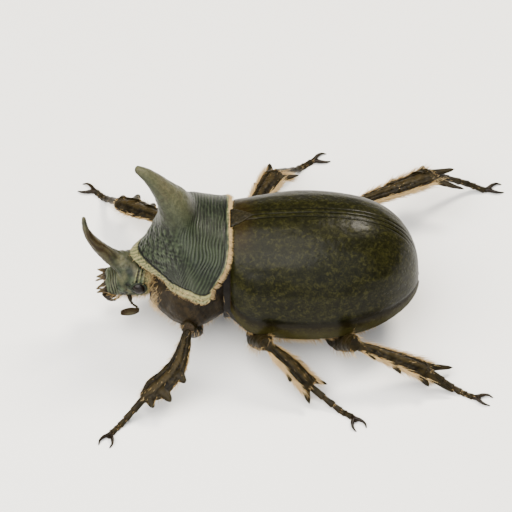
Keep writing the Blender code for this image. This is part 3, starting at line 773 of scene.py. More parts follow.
@dataclass
class WingCases:
    """Both elytra and the scutellum: a long dome, parted by the suture, that ends in a rounded tail."""

    length: float = 35.0
    half_width: float = 14.5
    shoulder_half_width: float = 11.2
    widest_x: float = 15.0
    top: float = 27.5
    shoulder_top: float = 26.1
    highest_x: float = 14.0
    edge: float = 9.1
    shoulder_edge: float = 12.8
    tail_edge: float = 10.4
    tail_rise_x: float = 18.0
    wall: float = 1.0
    squareness: float = 2.2
    suture_half_gap: float = 0.035
    plate_half_width: float = 2.3
    plate_tip_x: float = 4.3
    shoulder: Swelling = Swelling(0.5, 3.6, 2.6, 1.13, 0.24)
    hind_swelling: Swelling = Swelling(0.42, 28.3, 3.2, 0.98, 0.27)
    seam_line_y: float = 1.0  # the sunken line beside the suture
    seam_line_depth: float = 0.08
    rib_spacing: float = 0.185  # of the faint ribs along the case, as an angle round the dome
    rib_height: float = 0.012

    def sizes(self, x: Array) -> tuple[Array, Array, Array]:
        """Half width, top and edge height at x.

        From the widest place the half width falls by a power to the shoulders and by a circle to the tail.
        The top falls by a square to the front and by a superellipse to the tail, and the edge rises at both
        ends."""
        front = np.clip((self.widest_x - x) / self.widest_x, 0, 1)
        back = np.clip((x - self.widest_x) / (self.length - self.widest_x), 0, 1)
        half = self.half_width - (self.half_width - self.shoulder_half_width) * front**2.2
        half = half * np.sqrt(1 - back**2)
        rise = np.clip((self.highest_x - x) / self.highest_x, 0, 1)
        fall = np.clip((x - self.highest_x) / (self.length - self.highest_x), 0, 1)
        top = self.top - (self.top - self.shoulder_top) * rise**2
        top = self.tail_edge + (top - self.tail_edge) * (1 - fall**2.8) ** (1 / 2.8)
        edge = self.edge + (self.shoulder_edge - self.edge) * np.clip((4 - x) / 4, 0, 1) ** 1.5
        tail = np.clip((x - self.tail_rise_x) / (self.length - self.tail_rise_x), 0, 1)
        return half, top, edge + (self.tail_edge - self.edge) * tail**2

    def dome(self, x: Array, angle: Array, inset: float = 0.0) -> Array:
        """Points of the dome set in from its outer face.

        It is a superellipse across, from the top at angle 0 to the edge at a quarter turn."""
        half, top, edge = self.sizes(x)
        y = half * (1 - inset / self.half_width) * power(np.sin(angle), 2 / self.squareness)
        height = (top - edge) * (1 - inset / (self.top - self.edge))
        z = edge + height * power(np.cos(angle), 2 / self.squareness)
        return np.stack(np.broadcast_arrays(x * (self.length - inset) / self.length, y, z), -1)

    def case(self, side: Side) -> Surface:
        """One elytron: the dome from the suture to the edge, and back inside at the wall's thickness.

        Its relief adds a sunken line beside the suture, a swelling at the shoulder and before the tail, faint
        ribs, a bead along the outer edge and fine waves."""
        rows, columns = 250, 132
        reach = self.length - 0.03 - CASE_FRONT
        x = (CASE_FRONT + reach * np.sin(np.linspace(0, math.pi / 2, rows)))[:, None]
        angle = np.linspace(0, 1, columns)[None] ** 1.15 * math.pi / 2
        outer = self.dome(x, angle)
        inner = self.dome(x, angle, self.wall)
        inner[0, :, 0] = CASE_FRONT
        y = outer[..., 1]
        tail = ease(x, self.length - 0.6, self.length - 3.5)
        broad = self.shoulder.at(x, angle) + self.hind_swelling.at(x, angle)
        broad = broad + 0.05 * Ripple(9.0, 11).at(outer) - 0.4 * hump(x, CASE_FRONT, 0.5)
        fine = -self.seam_line_depth * hump(y, self.seam_line_y, 0.16) * tail - 0.07 * hump(y, 0, 0.12)
        ribs = self.rib_height * np.cos(angle * 2 * math.pi / self.rib_spacing)
        fine = fine + ribs * ease(x, 2, 6) * tail
        fine = fine - 0.13 * hump(angle, 1.43, 0.035) + 0.16 * hump(angle, math.pi / 2, 0.06)
        fine = fine + 0.01 * Ripple(1.9, 12).at(outer) + 0.006 * Ripple(0.8, 13).at(outer)
        normal = open_normals(outer, np.array([0.0, 0.5, 1.0]))
        outer = outer + normal * (broad * tail + fine)[..., None]
        outer[..., 1] = np.maximum(outer[..., 1], 0)
        for face in (outer, inner):
            face[..., 1] = side.value * (self.suture_half_gap + face[..., 1])
        relief = np.concatenate([fine, np.zeros_like(fine)], axis=1)
        tan = 0.3 * hump(x, 1.8, 2.2) * ease(angle, 0.75, 0.3) + 0.15 * ease(angle, 1.38, 1.5)
        tan = np.concatenate([tan, np.ones_like(fine)], axis=1)
        points = np.concatenate([outer, inner[:, ::-1]], axis=1)
        return Surface(points, {"relief": relief, "tan": tan}, Cap.ZIP)

    def scutellum(self) -> Surface:
        """The small triangular plate between the wing cases' bases.

        Its half width falls by a power of 1.5 to its tip, over a rounded edge."""
        x = np.linspace(CASE_FRONT - 0.05, self.plate_tip_x, 60)[:, None]
        share = (x - x[0]) / (x[-1] - x[0])
        half = np.maximum(self.plate_half_width * (1 - share**1.5), 0.1)
        turn = circle(64)[None]
        y = half * np.sin(turn)
        top = self.sizes(x)[1]
        z = top + 0.02 - 0.05 * np.abs(y) + np.where(np.cos(turn) > 0, 0.16, 0.7) * power(np.cos(turn), 0.5)
        plate = Surface(np.stack(np.broadcast_arrays(x, y, z), -1))
        fine = 0.03 * Ripple(0.5, 14).at(plate.points) - 0.1 * hump(share, 0, 0.05)
        plate.masks["relief"] = fine
        return plate.raise_by(fine)

    def build(self, finishes: Finishes) -> None:
        """Makes both elytra and the scutellum."""
        for side in Side:
            name = f"elytron_{side.word}"
            add_piece(f"wing_case_{side.word}", [self.case(side)], finishes.case, (name,))
        add_piece("scutellum_plate", [self.scutellum()], finishes.plate, ("scutellum",))


# ---- body under the wing cases ----


@dataclass
class Underside:
    """Hind thorax, abdomen and tail plate: the body that the wing cases cover, closed by the belly."""

    cases: WingCases
    inset: float = 1.2
    waist_x: float = 16.7
    tail_plate_x: float = 29.7
    overlap: float = 0.3  # how far the abdomen starts inside the hind thorax
    thorax_plate: float = 9.1  # lengths of the plates
    abdomen_plate: float = 2.7
    belly: Rows = (
        # x, height of the belly's middle
        (0, 5.6), (4, 3.9), (12, 3.2), (22, 3.6), (28, 5.2), (32, 7.6), (35, 10.0),
    )

    def core(self, start: float, end: float, rows: int) -> Surface:
        """The body between two places along it: the dome set in, and a belly under it.

        The belly's half width goes with the sine and its depth with the cosine of the turn."""
        x = (np.linspace(start, end, rows) * self.cases.length / (self.cases.length - self.inset))[:, None]
        x = np.minimum(x, self.cases.length)
        upper = np.linspace(-math.pi / 2, math.pi / 2, 70)
        lower = np.linspace(math.pi / 2, -math.pi / 2, 92)[1:-1]
        roof = self.cases.dome(x, np.abs(upper)[None], self.inset)
        roof[..., 1] *= np.sign(upper)[None]
        half, edge = roof[:, -1:, 1], roof[:, -1:, 2]
        deep = edge - along(x, self.belly)[..., 0]
        floor_y = half * power(np.sin(lower), 1.1)[None]
        floor_z = edge - deep * power(np.cos(lower), 0.9)[None]
        floor = np.stack(np.broadcast_arrays(roof[:, :1, 0], floor_y, floor_z), -1)
        return Surface(np.concatenate([roof, floor], axis=1))

    def plated(self, body: Surface, first: float, spacing: float, step: float) -> Surface:
        """Sets a body part out in overlapping plates: each rises to its hind edge and drops there."""
        x = body.points[..., 0]
        share = np.mod((x - first) / spacing, 1.0)
        plates = step * (share**1.4 - ease(share, 0.93, 1.0) * share**1.4)
        fine = plates + 0.04 * Ripple(0.9, 21).at(body.points) + 0.1 * Ripple(4.0, 22).at(body.points)
        # lowered by half a plate's step: painted shade darkens each plate's front, where it runs under the
        # plate before
        body.masks["relief"] = fine - 0.5 * step
        body.masks["tan"] = 0.5 * ease(share, 0.86, 0.97)
        return body.raise_by(fine)

    def build(self, finishes: Finishes) -> dict[str, Surface]:
        """Makes the three parts.

        Returns:
            The surfaces by name, for the coat to grow on."""
        sections = {
            # start and end along x, rows, length of a plate, height of its hind edge
            "hind_thorax": (-1.2, self.waist_x, 110, self.thorax_plate, 0.28),
            "abdomen": (self.waist_x - self.overlap, self.tail_plate_x, 110, self.abdomen_plate, 0.24),
            "pygidium": (self.tail_plate_x - 0.2, 34.6, 60, 9.0, 0.1),
        }
        parts = {}
        for name, (start, end, rows, plate, step) in sections.items():
            parts[name] = self.plated(self.core(start, end, rows), start, plate, step)
            add_piece(f"{name}_plates", [parts[name]], finishes.belly, (name,))
        return parts


# ---- prothorax ----


def flare(start: Array, start_slope: Array, end: Array, end_slope: Array, rows: int) -> Array:
    """Rings from start to end along cubics that leave and arrive with the given slopes (Hermite's form).

    Args:
        start: the first ring's points.
        start_slope: each point's leaving direction, at length one.
        end: the last ring's points.
        end_slope: each point's arriving direction, at length one.
        rows: how many rings, with both ends.

    Returns:
        rows x points x 3.
    """
    t = np.linspace(0, 1, rows)[:, None, None]
    reach = 1.15 * np.linalg.norm(end - start, axis=-1, keepdims=True)
    return (
        (2 * t**3 - 3 * t**2 + 1) * start
        + (t**3 - 2 * t**2 + t) * start_slope * reach
        + (3 * t**2 - 2 * t**3) * end
        + (t**3 - t**2) * end_slope * reach
    )


def on_foot(full: Surface, start: int, landing: Array, beyond: Array, sunk: Array, rows: int) -> Surface:
    """A horn on a flared foot, which leaves the horn along it and lands without a step.

    Args:
        full: the whole horn as a tube.
        start: the row of it where the foot ends.
        landing: the ring where the foot lands, on the surface that it grows from.
        beyond: a ring on that surface a little further out.
        sunk: a ring under the surface, which closes the horn.
        rows: how many rings the foot has.

    Returns:
        The surface, from the sunk ring to the tip.
    """
    shaft = full.points[start::2]
    leave = unit(full.points[start - 4] - full.points[start])
    foot = flare(shaft[0], leave, landing, unit(beyond - landing), rows)[::-1]
    return Surface(np.concatenate([sunk[None], foot[:-1], shaft]))


@dataclass
class Prothorax:
    """Pronotum with its collar and striae, the great horn that grows from it, and the chest under it."""

    shield_rows: Rows = (
        # share of the way, the arch's middle x and z, its margin's x, half width and z, how late it leaves
        (0.00, -18.5, 17.1, -11.6, 6.6, 15.5, 1.7),
        (0.10, -17.2, 18.3, -11.0, 7.6, 15.8, 1.7),
        (0.22, -15.8, 20.4, -10.2, 8.4, 16.0, 1.7),
        (0.34, -14.4, 23.6, -9.3, 9.3, 16.2, 1.7),
        (0.44, -12.9, 26.2, -8.4, 10.1, 16.4, 1.7),
        (0.55, -10.8, 27.8, -7.1, 10.9, 16.5, 1.8),
        (0.68, -7.8, 28.0, -6.4, 11.5, 16.5, 2.2),
        (0.82, -4.6, 27.0, -5.0, 11.9, 16.4, 3.5),
        (0.93, -1.9, 26.2, -4.1, 11.9, 16.7, 6.0),
        (1.00, -0.15, 25.9, -3.6, 11.7, 17.2, 8.0),
    )
    squareness: float = 2.1
    rim: float = 0.4  # radius of the rolled edge
    striae_spacing: float = 0.62
    striae_height: float = 0.055
    front_collar: float = 1.8  # how many times as broad the collar is in front as at the sides
    notch_spacing: float = 0.78  # of the dark notches in the front collar
    horn_bends: tuple[Point, ...] = (
        (-8.6, 0, 26.0), (-10.2, 0, 29.4), (-12.2, 0, 33.0), (-14.8, 0, 36.6), (-17.3, 0, 38.8),
    )
    horn_sizes: Rows = (
        # share of the horn's path, half width, half thickness
        (0, 6.2, 4.8), (0.2, 4.6, 3.6), (0.45, 3.0, 2.2), (0.7, 1.9, 1.25), (0.9, 1.2, 0.75),
        (1.0, 0.75, 0.45),
    )
    horn_from: float = 0.34  # share of the horn's path above its flared foot
    foot_share: float = 0.57  # middle of the foot, as a share of the shield's way
    foot_reach: tuple[float, float] = (0.235, 0.66)  # its half sizes, in share and in angle
    chest_rows: Rows = (
        # x, half width, widest height, top, bottom
        (-14.9, 4.6, 10.6, 14.4, 6.2),
        (-13.0, 7.6, 10.7, 17.8, 5.0),
        (-10.4, 10.6, 10.8, 21.4, 4.5),
        (-8.4, 12.0, 10.9, 23.0, 4.3),
        (-6.0, 12.2, 11.0, 23.6, 4.3),
        (-3.4, 11.1, 11.4, 23.2, 4.8),
        (-0.15, 9.0, 12.6, 22.4, 6.2),
    )

    def shield(self, share: Array, angle: Array) -> Array:
        """Points of the pronotum: at each share an arch, a superellipse across.

        Its x slides from the middle's to the margin's by a power of the sine."""
        values = np.moveaxis(along(share, self.shield_rows), -1, 0)
        middle_x, middle_z, edge_x, half, edge_z, late = values
        y = half * power(np.sin(angle), 2 / self.squareness)
        z = edge_z + (middle_z - edge_z) * power(np.cos(angle), 2 / self.squareness)
        x = middle_x + (edge_x - middle_x) * np.abs(np.sin(angle)) ** late
        return np.stack(np.broadcast_arrays(x, y, z), -1)

    def striae(self, points: Array, from_back: Array, ridged: Array) -> tuple[Array, Array]:
        """The pronotum's fine relief: ridges that keep their distance from its hind edge, and wrinkles.

        Args:
            points: where it is wanted.
            from_back: how far each is from the hind edge.
            ridged: 1 where it is ridged and 0 where it is wrinkled.

        Returns:
            The height of the ridges, a sine of the distance in spacings with a random phase, and of the
            wrinkles.
        """
        phase = 2 * math.pi * from_back / self.striae_spacing + 1.6 * Ripple(4.5, 31).at(points)
        wrinkles = 0.05 * Ripple(0.75, 33).at(points) + 0.05 * Ripple(1.5, 34).at(points)
        return self.striae_height * np.sin(phase) * ridged, (1 - ridged) * wrinkles

    def pronotum(self) -> Surface:
        """The pronotum: its arch with the relief, a rolled rim along the margin and a plain underside.

        Fine ridges follow the arch behind and on the flanks, the front slope is wrinkled, and a pale stippled
        collar runs along the front and the sides, with a pale line along the hind edge."""
        share = np.linspace(0, 1, 290)[:, None]
        angle = np.linspace(-math.pi / 2, math.pi / 2, 226)[None]
        arch = self.shield(share, angle)
        steps_down = np.linalg.norm(np.diff(arch, axis=0), axis=-1)
        from_lip = np.vstack([np.zeros((1, arch.shape[1])), np.cumsum(steps_down, axis=0)])
        from_back = from_lip[-1:] - from_lip
        steps_across = np.linalg.norm(np.diff(arch, axis=1), axis=-1)
        across = np.hstack([np.zeros((len(arch), 1)), np.cumsum(steps_across, axis=1)])
        from_side = np.minimum(across, across[:, -1:] - across)
        from_front = from_lip / self.front_collar
        margin = np.minimum(from_front, from_side)
        round_margin = np.where(from_front < from_side, across, from_lip)
        notch = np.cos(2 * math.pi * round_margin / self.notch_spacing + Ripple(1.5, 30).at(arch))
        flank = ease(np.abs(angle), 0.75, 1.15)
        ridged = np.clip(ease(share, 0.5, 0.64) + flank * ease(share, 0.12, 0.3), 0, 1)
        ridges, wrinkles = self.striae(arch, from_back, ridged)
        fine = ridges * (0.75 + 0.25 * Ripple(2.4, 32).at(arch)) + wrinkles
        fine = fine * ease(margin, 0.8, 1.5)
        collar = 0.16 * hump(margin, 0.45, 0.45) - 0.13 * hump(margin, 1.3, 0.16)
        collar = collar + 0.03 * Ripple(0.45, 35).at(arch) * ease(margin, 1.2, 0.9)
        hind = 0.08 * hump(from_back, 0.25, 0.22) - 0.1 * hump(from_back, 0.75, 0.14)
        fine = fine + collar + hind
        notched = ease(share, 0.62, 0.3) * ease(z_of(arch), 24, 19)
        band = ease(margin, 1.15, 0.95) * (1 - notched * 0.75 * (0.5 + 0.5 * notch))
        line = ease(from_back, 0.42, 0.25) * (0.45 + 0.4 * Ripple(1.6, 29).at(arch))
        pale = np.clip(np.maximum(0.95 * band, line), 0, 1)
        arch = arch + open_normals(arch, np.array([0.0, 0.0, 1.0])) * fine[..., None]
        return self.with_rim(arch, fine, pale)

    def with_rim(self, arch: Array, fine: Array, pale: Array) -> Surface:
        """Closes the arch: a half circle of the rim's radius under each margin and a flat underside."""
        turn = np.linspace(0, math.pi, 9)[1:]
        right, left = arch[:, -1:], arch[:, :1]
        drop = self.rim * (np.cos(turn) - 1)
        out = self.rim * np.sin(turn)
        zero = np.zeros_like(turn)
        right_rim = right + np.stack([zero, out, drop], -1)
        left_rim = left + np.stack([zero, -out, drop], -1)[::-1]
        way = np.linspace(0, 1, 18)[1:-1][None, :, None]
        under = right_rim[:, -1:] * (1 - way) + left_rim[:, :1] * way
        points = np.concatenate([arch, right_rim, under, left_rim], axis=1)
        extra = points.shape[1] - arch.shape[1]
        rim_pale = np.full((len(arch), extra), 0.8)
        relief = np.concatenate([fine, np.zeros((len(arch), extra))], axis=1)
        return Surface(points, {"relief": relief, "pale": np.concatenate([pale, rim_pale], axis=1)})

    def great_horn(self) -> Surface:
        """The great horn: ellipses along its bend, rounded at the tip.

        Its foot flares out and lands on the pronotum without a step, and the striae run a little up it.
        Painted highlight makes its upper, hind side paler and painted shade makes its lower, front side
        darker."""
        rows, sides = 420, 180
        full = bent_tube(self.horn_bends, self.horn_sizes, (0, 1, 0), (rows, sides), 0.035)
        turn = circle(sides)
        share = self.foot_share - self.foot_reach[0] * np.sin(turn)
        angle = self.foot_reach[1] * np.cos(turn)
        landing = self.shield(share, angle)
        beyond = self.shield(share - 0.02 * np.sin(turn), angle + 0.05 * np.cos(turn))
        sunk = landing + np.array([0.25, 0, -0.7])
        horn = on_foot(full, int(self.horn_from * rows), landing, beyond, sunk, 60)
        points = horn.points
        row = np.arange(len(points))[:, None]
        settled = ease(row, 2, 26)
        bare = ease(row, len(points), 0.35 * len(points))
        fine = 0.03 * Ripple(1.5, 36).at(points) + 0.012 * Ripple(0.5, 37).at(points)
        fine = settled * fine * (0.35 + 0.65 * bare)
        upper = 0.5 - 0.5 * np.sin(turn)[None]
        # painted shade: the relief mask is lowered along the horn's lower, front side, so that it shows
        # darker there
        relief = 0.3 * fine - 0.05 * (1 - upper) ** 2.5 * ease(row, 40, 0.5 * len(points))
        streak = np.cos(11 * turn[None] + 2.0 * Ripple(5.0, 51).at(points)) * ease(row, 30, 0.5 * len(points))
        # painted highlight: paler along the horn's upper, hind side and on its streaks
        painted_top_highlight = np.clip(0.1 + 0.85 * upper**1.3 + 0.1 * streak, 0, 1)
        horn.masks["worn"] = ease(row, 8, 0.4 * len(points)) * painted_top_highlight
        fine = fine + 0.012 * streak * bare
        hind_edge = self.shield(np.ones_like(turn), angle)
        from_back = np.linalg.norm(points - hind_edge[None], axis=-1)
        ridges, wrinkles = self.striae(points, from_back, ease(share, 0.5, 0.64)[None])
        lines = (ridges + wrinkles) * ease(row, 46, 8) * ease(row, 0, 3)
        horn.masks["relief"] = relief + lines
        return horn.raise_by(fine + lines)

    def chest(self) -> Surface:
        """The prosternum: superellipses of unequal halves above and below the widest line, wrinkled."""
        x = np.linspace(self.chest_rows[0][0], self.chest_rows[-1][0], 90)[:, None]
        half, middle, top, bottom = np.moveaxis(along(x, self.chest_rows), -1, 0)
        turn = circle(150)[None]
        up = np.cos(turn) > 0
        height = np.where(up, top - middle, middle - bottom)
        exponent = np.where(up, 1.33, 1.25)
        y = half * power(np.sin(turn), exponent)
        z = middle + height * power(np.cos(turn), exponent)
        chest = Surface(np.stack(np.broadcast_arrays(x, y, z), -1))
        close = 0.04 * Ripple(0.8, 39).at(chest.points)
        chest.masks["relief"] = close
        chest.masks["tan"] = np.broadcast_to(0.35 * ease(z, 9.0, 5.0), close.shape)
        return chest.raise_by(close + 0.14 * Ripple(3.4, 38).at(chest.points))

    def build(self, finishes: Finishes) -> dict[str, Surface]:
        """Makes the prothorax.

        Returns:
            The surfaces by name, for the coat to grow on."""
        parts = {"pronotum": self.pronotum(), "great_horn": self.great_horn(), "prosternum": self.chest()}
        add_piece("pronotum_shield", [parts["pronotum"]], finishes.shield, ("pronotum",))
        add_piece("great_horn", [parts["great_horn"]], finishes.shield, ("thoracic_horn",))
        add_piece("chest", [parts["prosternum"]], finishes.belly, ("prosternum",))
        return parts


# ---- head ----


@dataclass
class Head:
    """Head capsule, clypeus, horn, eyes, jaws, palps and antennae."""

    rows: Rows = (
        # x, half width, bottom, top
        (-22.8, 2.3, 8.8, 10.4),
        (-22.4, 2.9, 8.3, 11.3),
        (-21.7, 3.4, 8.1, 12.4),
        (-20.6, 3.9, 8.1, 13.9),
        (-19.2, 4.2, 8.1, 15.0),
        (-17.6, 4.3, 8.1, 15.7),
        (-16.2, 4.2, 8.1, 15.6),
        (-15.1, 3.7, 8.3, 14.9),
        (-13.6, 3.1, 8.6, 14.0),
    )
    squareness: float = 2.3
    face_x: float = -20.8
    horn_bends: tuple[Point, ...] = (
        (-18.0, 0, 12.9), (-20.5, 0, 14.7), (-22.9, 0, 16.9), (-25.0, 0, 19.6), (-26.5, 0, 22.6),
        (-27.0, 0, 26.2),
    )
    horn_sizes: Rows = (
        # share of the horn's path, half width, half thickness
        (0, 2.6, 2.2), (0.2, 2.1, 1.7), (0.4, 1.6, 1.25), (0.6, 1.2, 0.95), (0.8, 0.8, 0.65),
        (1, 0.4, 0.36),
    )
    horn_from: float = 0.3  # share of the horn's path above its flared foot
    foot_x: float = -19.3
    foot_reach: tuple[float, float] = (2.5, 1.15)  # half sizes of the horn's foot, along x and in angle
    eye_at: Point = (-16.9, 4.1, 12.0)
    eye_radii: Point = (1.15, 1.3, 1.25)
    ridge_spacing: float = 0.66  # of the ridges across the clypeus
    jaw_bends: tuple[Point, ...] = (
        (-21.2, 2.5, 8.5), (-21.9, 2.7, 8.4), (-22.7, 2.8, 8.3), (-23.35, 2.2, 8.4),
        (-23.6, 1.2, 8.75),
    )
    palp_bends: tuple[Point, ...] = (
        (-20.2, 1.4, 7.9), (-20.9, 1.8, 6.9), (-21.9, 2.1, 6.55), (-23.0, 1.9, 6.9),
    )
    antenna_bends: tuple[Point, ...] = (
        (-18.9, 3.1, 9.9), (-18.75, 3.7, 8.7), (-18.1, 4.2, 7.8), (-17.3, 4.5, 7.25),
        (-17.0, 4.75, 6.7),
    )
    leaf_length: float = 3.5
    leaf_half_width: float = 0.6

    def skin(self, x: Array, angle: Array) -> Array:
        """Points of the head: a superellipse at each x, from the top at angle 0 round by its right side."""
        half, bottom, top = np.moveaxis(along(x, self.rows), -1, 0)
        y = half * power(np.sin(angle), 2 / self.squareness)
        z = (top + bottom) / 2 + (top - bottom) / 2 * power(np.cos(angle), 2 / self.squareness)
        return np.stack(np.broadcast_arrays(x, y, z), -1)

    def capsule(self) -> Surface:
        """The head behind its face: wrinkled, raised over the eyes and hollowed in front of them.

        Pale arcs, a cosine of x and the turn round it, run over its hind part."""
        x = np.linspace(self.face_x - 0.15, self.rows[-1][0], 170)[:, None]
        angle = circle(240)[None]
        head = Surface(self.skin(x, angle))
        turn = np.minimum(angle, 2 * math.pi - angle)
        brow = 0.42 * hump(x, self.eye_at[0], 1.7) * hump(turn, 1.13, 0.2)
        brow = brow - 0.25 * hump(x, -18.9, 0.5) * hump(turn, 1.3, 0.3)
        cheek = 0.25 * hump(x, -19.9, 0.9) * hump(turn, 1.45, 0.3)
        points = head.points
        wrinkles = 0.05 * Ripple(0.7, 41).at(points) + 0.07 * Ripple(1.7, 42).at(points)
        wrinkles = wrinkles + 0.02 * Ripple(0.35, 43).at(points)
        foot = np.hypot((x - self.foot_x) / self.foot_reach[0], turn / self.foot_reach[1])
        wrinkles = wrinkles * ease(foot, 0.95, 1.3) * ease(turn, 2.6, 2.0)
        nape = ease(x, -15.9, -15.0)
        wave = np.cos(2 * math.pi * (x + 0.9 * turn) / 0.72) * ease(x, -18.3, -17.2) * ease(turn, 0.35, 0.8)
        arcs = 0.09 * wave * (1 - nape)
        pale = 0.5 * ease(wave, 0.2, 0.9) * (1 - nape) + 0.9 * nape
        head.masks["relief"] = wrinkles + 0.3 * brow + 0.7 * arcs
        head.masks["pale"] = np.clip(pale, 0, 1)
        head.masks["worn"] = np.clip(0.5 + 0.55 * Ripple(2.2, 52).at(points), 0, 1)
        return head.raise_by(wrinkles + arcs + brow + cheek)

    def clypeus(self) -> Surface:
        """The face plate: it slopes down in front to an upturned rim with two low points.

        The ridges across it are a cosine of the way down it, so they bow with its front edge."""
        x = np.linspace(self.rows[0][0], self.face_x, 90)[:, None]
        angle = circle(220)[None]
        face = Surface(self.skin(x, angle))
        y, z = face.points[..., 1], face.points[..., 2]
        above = ease(z, 9.2, 10.0)
        from_front = x - self.rows[0][0]
        rim = 0.32 * hump(from_front, 0.12, 0.3) * (1 + 0.5 * hump(np.abs(y), 1.2, 0.5))
        down = np.linalg.norm(np.diff(face.points, axis=0, prepend=face.points[:1]), axis=-1)
        down = np.cumsum(down, axis=0) + 0.09 * Ripple(1.8, 44).at(face.points)
        ridges = 0.11 * np.cos(2 * math.pi * down / self.ridge_spacing) * ease(from_front, 0.15, 0.4)
        fine = above * (rim + ridges) + 0.02 * Ripple(0.4, 45).at(face.points)
        face.masks["relief"] = fine
        # paler on the ridges' tops: painted highlight, partly wear
        face.masks["worn"] = np.clip(above * (0.5 + 5 * ridges), 0, 1)
        return face.raise_by(fine)

    def horn(self) -> Surface:
        """The horn: it leaves the crown on a flared foot, swings forward and then up, and is streaked."""
        rows, sides = 360, 96
        full = bent_tube(self.horn_bends, self.horn_sizes, (0, 1, 0), (rows, sides), 0.02)
        turn = circle(sides)
        x = self.foot_x - self.foot_reach[0] * np.sin(turn) * np.where(np.sin(turn) > 0, 0.72, 1.1)
        angle = self.foot_reach[1] * np.cos(turn)
        landing = self.skin(x, angle)
        beyond = self.skin(x - 0.1 * np.sin(turn), angle + 0.05 * np.cos(turn))
        sunk = landing + 0.16 * (np.array([-18.5, 0, 12.0]) - landing)
        horn = on_foot(full, int(self.horn_from * rows), landing, beyond, sunk, 50)
        points = horn.points
        row = np.arange(len(points))[:, None]
        settled = ease(row, 2, 24)
        up_shaft = ease(row, 25, 90)
        streak = 0.04 * np.cos(8 * turn[None] + 1.5 * Ripple(4.0, 46).at(points)) * up_shaft
        fine = 0.05 * Ripple(1.1, 47).at(points) + 0.025 * Ripple(0.45, 48).at(points)
        fine = settled * (fine * (1 - 0.6 * up_shaft)) + streak * ease(row, len(points), 0.6 * len(points))
        tan = 0.55 * up_shaft * ease(row, len(points) - 6, 0.75 * len(points))
        # random pale clouds; the raised streaks are paler and the hollows between them darker: painted
        # highlight and painted shade
        horn.masks["worn"] = np.clip(0.5 + 0.4 * Ripple(2.2, 52).at(points) + 6 * streak, 0, 1)
        horn.masks["tan"] = np.broadcast_to(tan, streak.shape)
        horn.masks["relief"] = 0.35 * (fine - streak) + 1.1 * streak
        return horn.raise_by(fine)

    def eye(self, side: Side) -> tuple[Surface, list[Surface]]:
        """One eye and the rim and canthus that hold it: an ellipsoid, a ring round it and a bar in front."""
        centre = np.array(self.eye_at) * (1, side.value, 1)
        globe = ball(centre, self.eye_radii, (0, 1, 0), 40, 48)
        turn = circle(90)
        path = centre + np.stack([1.33 * np.cos(turn), 0 * turn + side.value * 0.28, 1.28 * np.sin(turn)], -1)
        size = 0.24 + 0.05 * np.cos(turn * 2)
        rim = self.hoop(path, size, np.array([0, side.value, 0.0]))
        bar = spike(
            centre + (-2.2, -side.value * 0.3, -0.1),
            centre + (-0.25, side.value * 1.02, 0.12),
            0.34,
            0.5,
            (0, 0, 1),
            (0, side.value * 0.35, 0),
        )
        return globe, [rim, bar]

    def hoop(self, path: Array, size: Array, side: Array) -> Surface:
        """A closed ring of tube, made as one long skin whose ends meet inside each other."""
        path = np.vstack([path, path[:2]])
        return tube(path, np.append(size, size[:2]), np.append(size, size[:2]), side, 14)

    def jaw(self, side: Side) -> Surface:
        """One mandible: a blade that curls inwards in front of the clypeus, thickest before its bend."""
        rows = 60
        path = curve_through(self.jaw_bends, rows) * (1, side.value, 1)
        place = np.linspace(0, 1, rows)
        size = along(place, ((0, 0.5), (0.3, 0.6), (0.6, 0.58), (0.85, 0.42), (1, 0.2)))[..., 0]
        ends = round_ends(rows, 0, 0.05)
        jaw = tube(path, size * ends, 0.66 * size * ends, (0, 1, 0), 28)
        fine = 0.03 * Ripple(0.6, 49).at(jaw.points)
        jaw.masks["relief"] = fine
        return jaw.raise_by(fine)

    def beads(self, path: Array, sizes: list[tuple[float, float]], flat: float = 0.9) -> list[Surface]:
        """Joints strung along a path: each is an ellipsoid stretched between two places on it.

        Args:
            path: the string.
            sizes: for each joint its half width and its share of the path's length.
            flat: thickness as a share of the width.

        Returns:
            The joints, each running a little into the next.
        """
        ends = np.cumsum([0.0] + [share for _, share in sizes])
        ends = ends / ends[-1] * (len(path) - 1)
        joints = []
        for (size, _), low, high in zip(sizes, ends[:-1], ends[1:]):
            near, far = (point_at(path, place) for place in (low, high))
            half = 0.56 * float(np.linalg.norm(far - near))
            joint = ball((near + far) / 2, (half, size, flat * size), far - near, 14, 16)
            joints.append(joint.raise_by(0.02 * Ripple(0.4, 50).at(joint.points)))
        return joints

    def palp(self, side: Side) -> list[Surface]:
        """One palp of four joints, the last the longest, bluntly spindle-shaped."""
        path = curve_through(self.palp_bends, 40) * (1, side.value, 1)
        return self.beads(path, [(0.3, 0.18), (0.32, 0.22), (0.3, 0.2), (0.36, 0.4)])

    def antenna(self, side: Side) -> tuple[list[Surface], list[Surface]]:
        """One antenna: a club-shaped scape, small beads that bend back, and three flat leaves held apart."""
        path = curve_through(self.antenna_bends, 50) * (1, side.value, 1)
        sizes = [(0.42, 0.42), (0.3, 0.12), (0.25, 0.1), (0.24, 0.1), (0.25, 0.1), (0.27, 0.1), (0.3, 0.1)]
        stalk = self.beads(path, sizes, 0.95)
        leaves = []
        root = path[-1]
        for number in (-1, 0, 1):
            axis = unit(np.array([-1.0, side.value * (0.1 * number + 0.05), -0.13 + 0.03 * number]))
            centre = root + axis * 1.62 + np.array([0.0, side.value * 0.14 * number, -0.16])
            leaves.append(self.leaf(centre, axis, side.value * number))
        return stalk, leaves

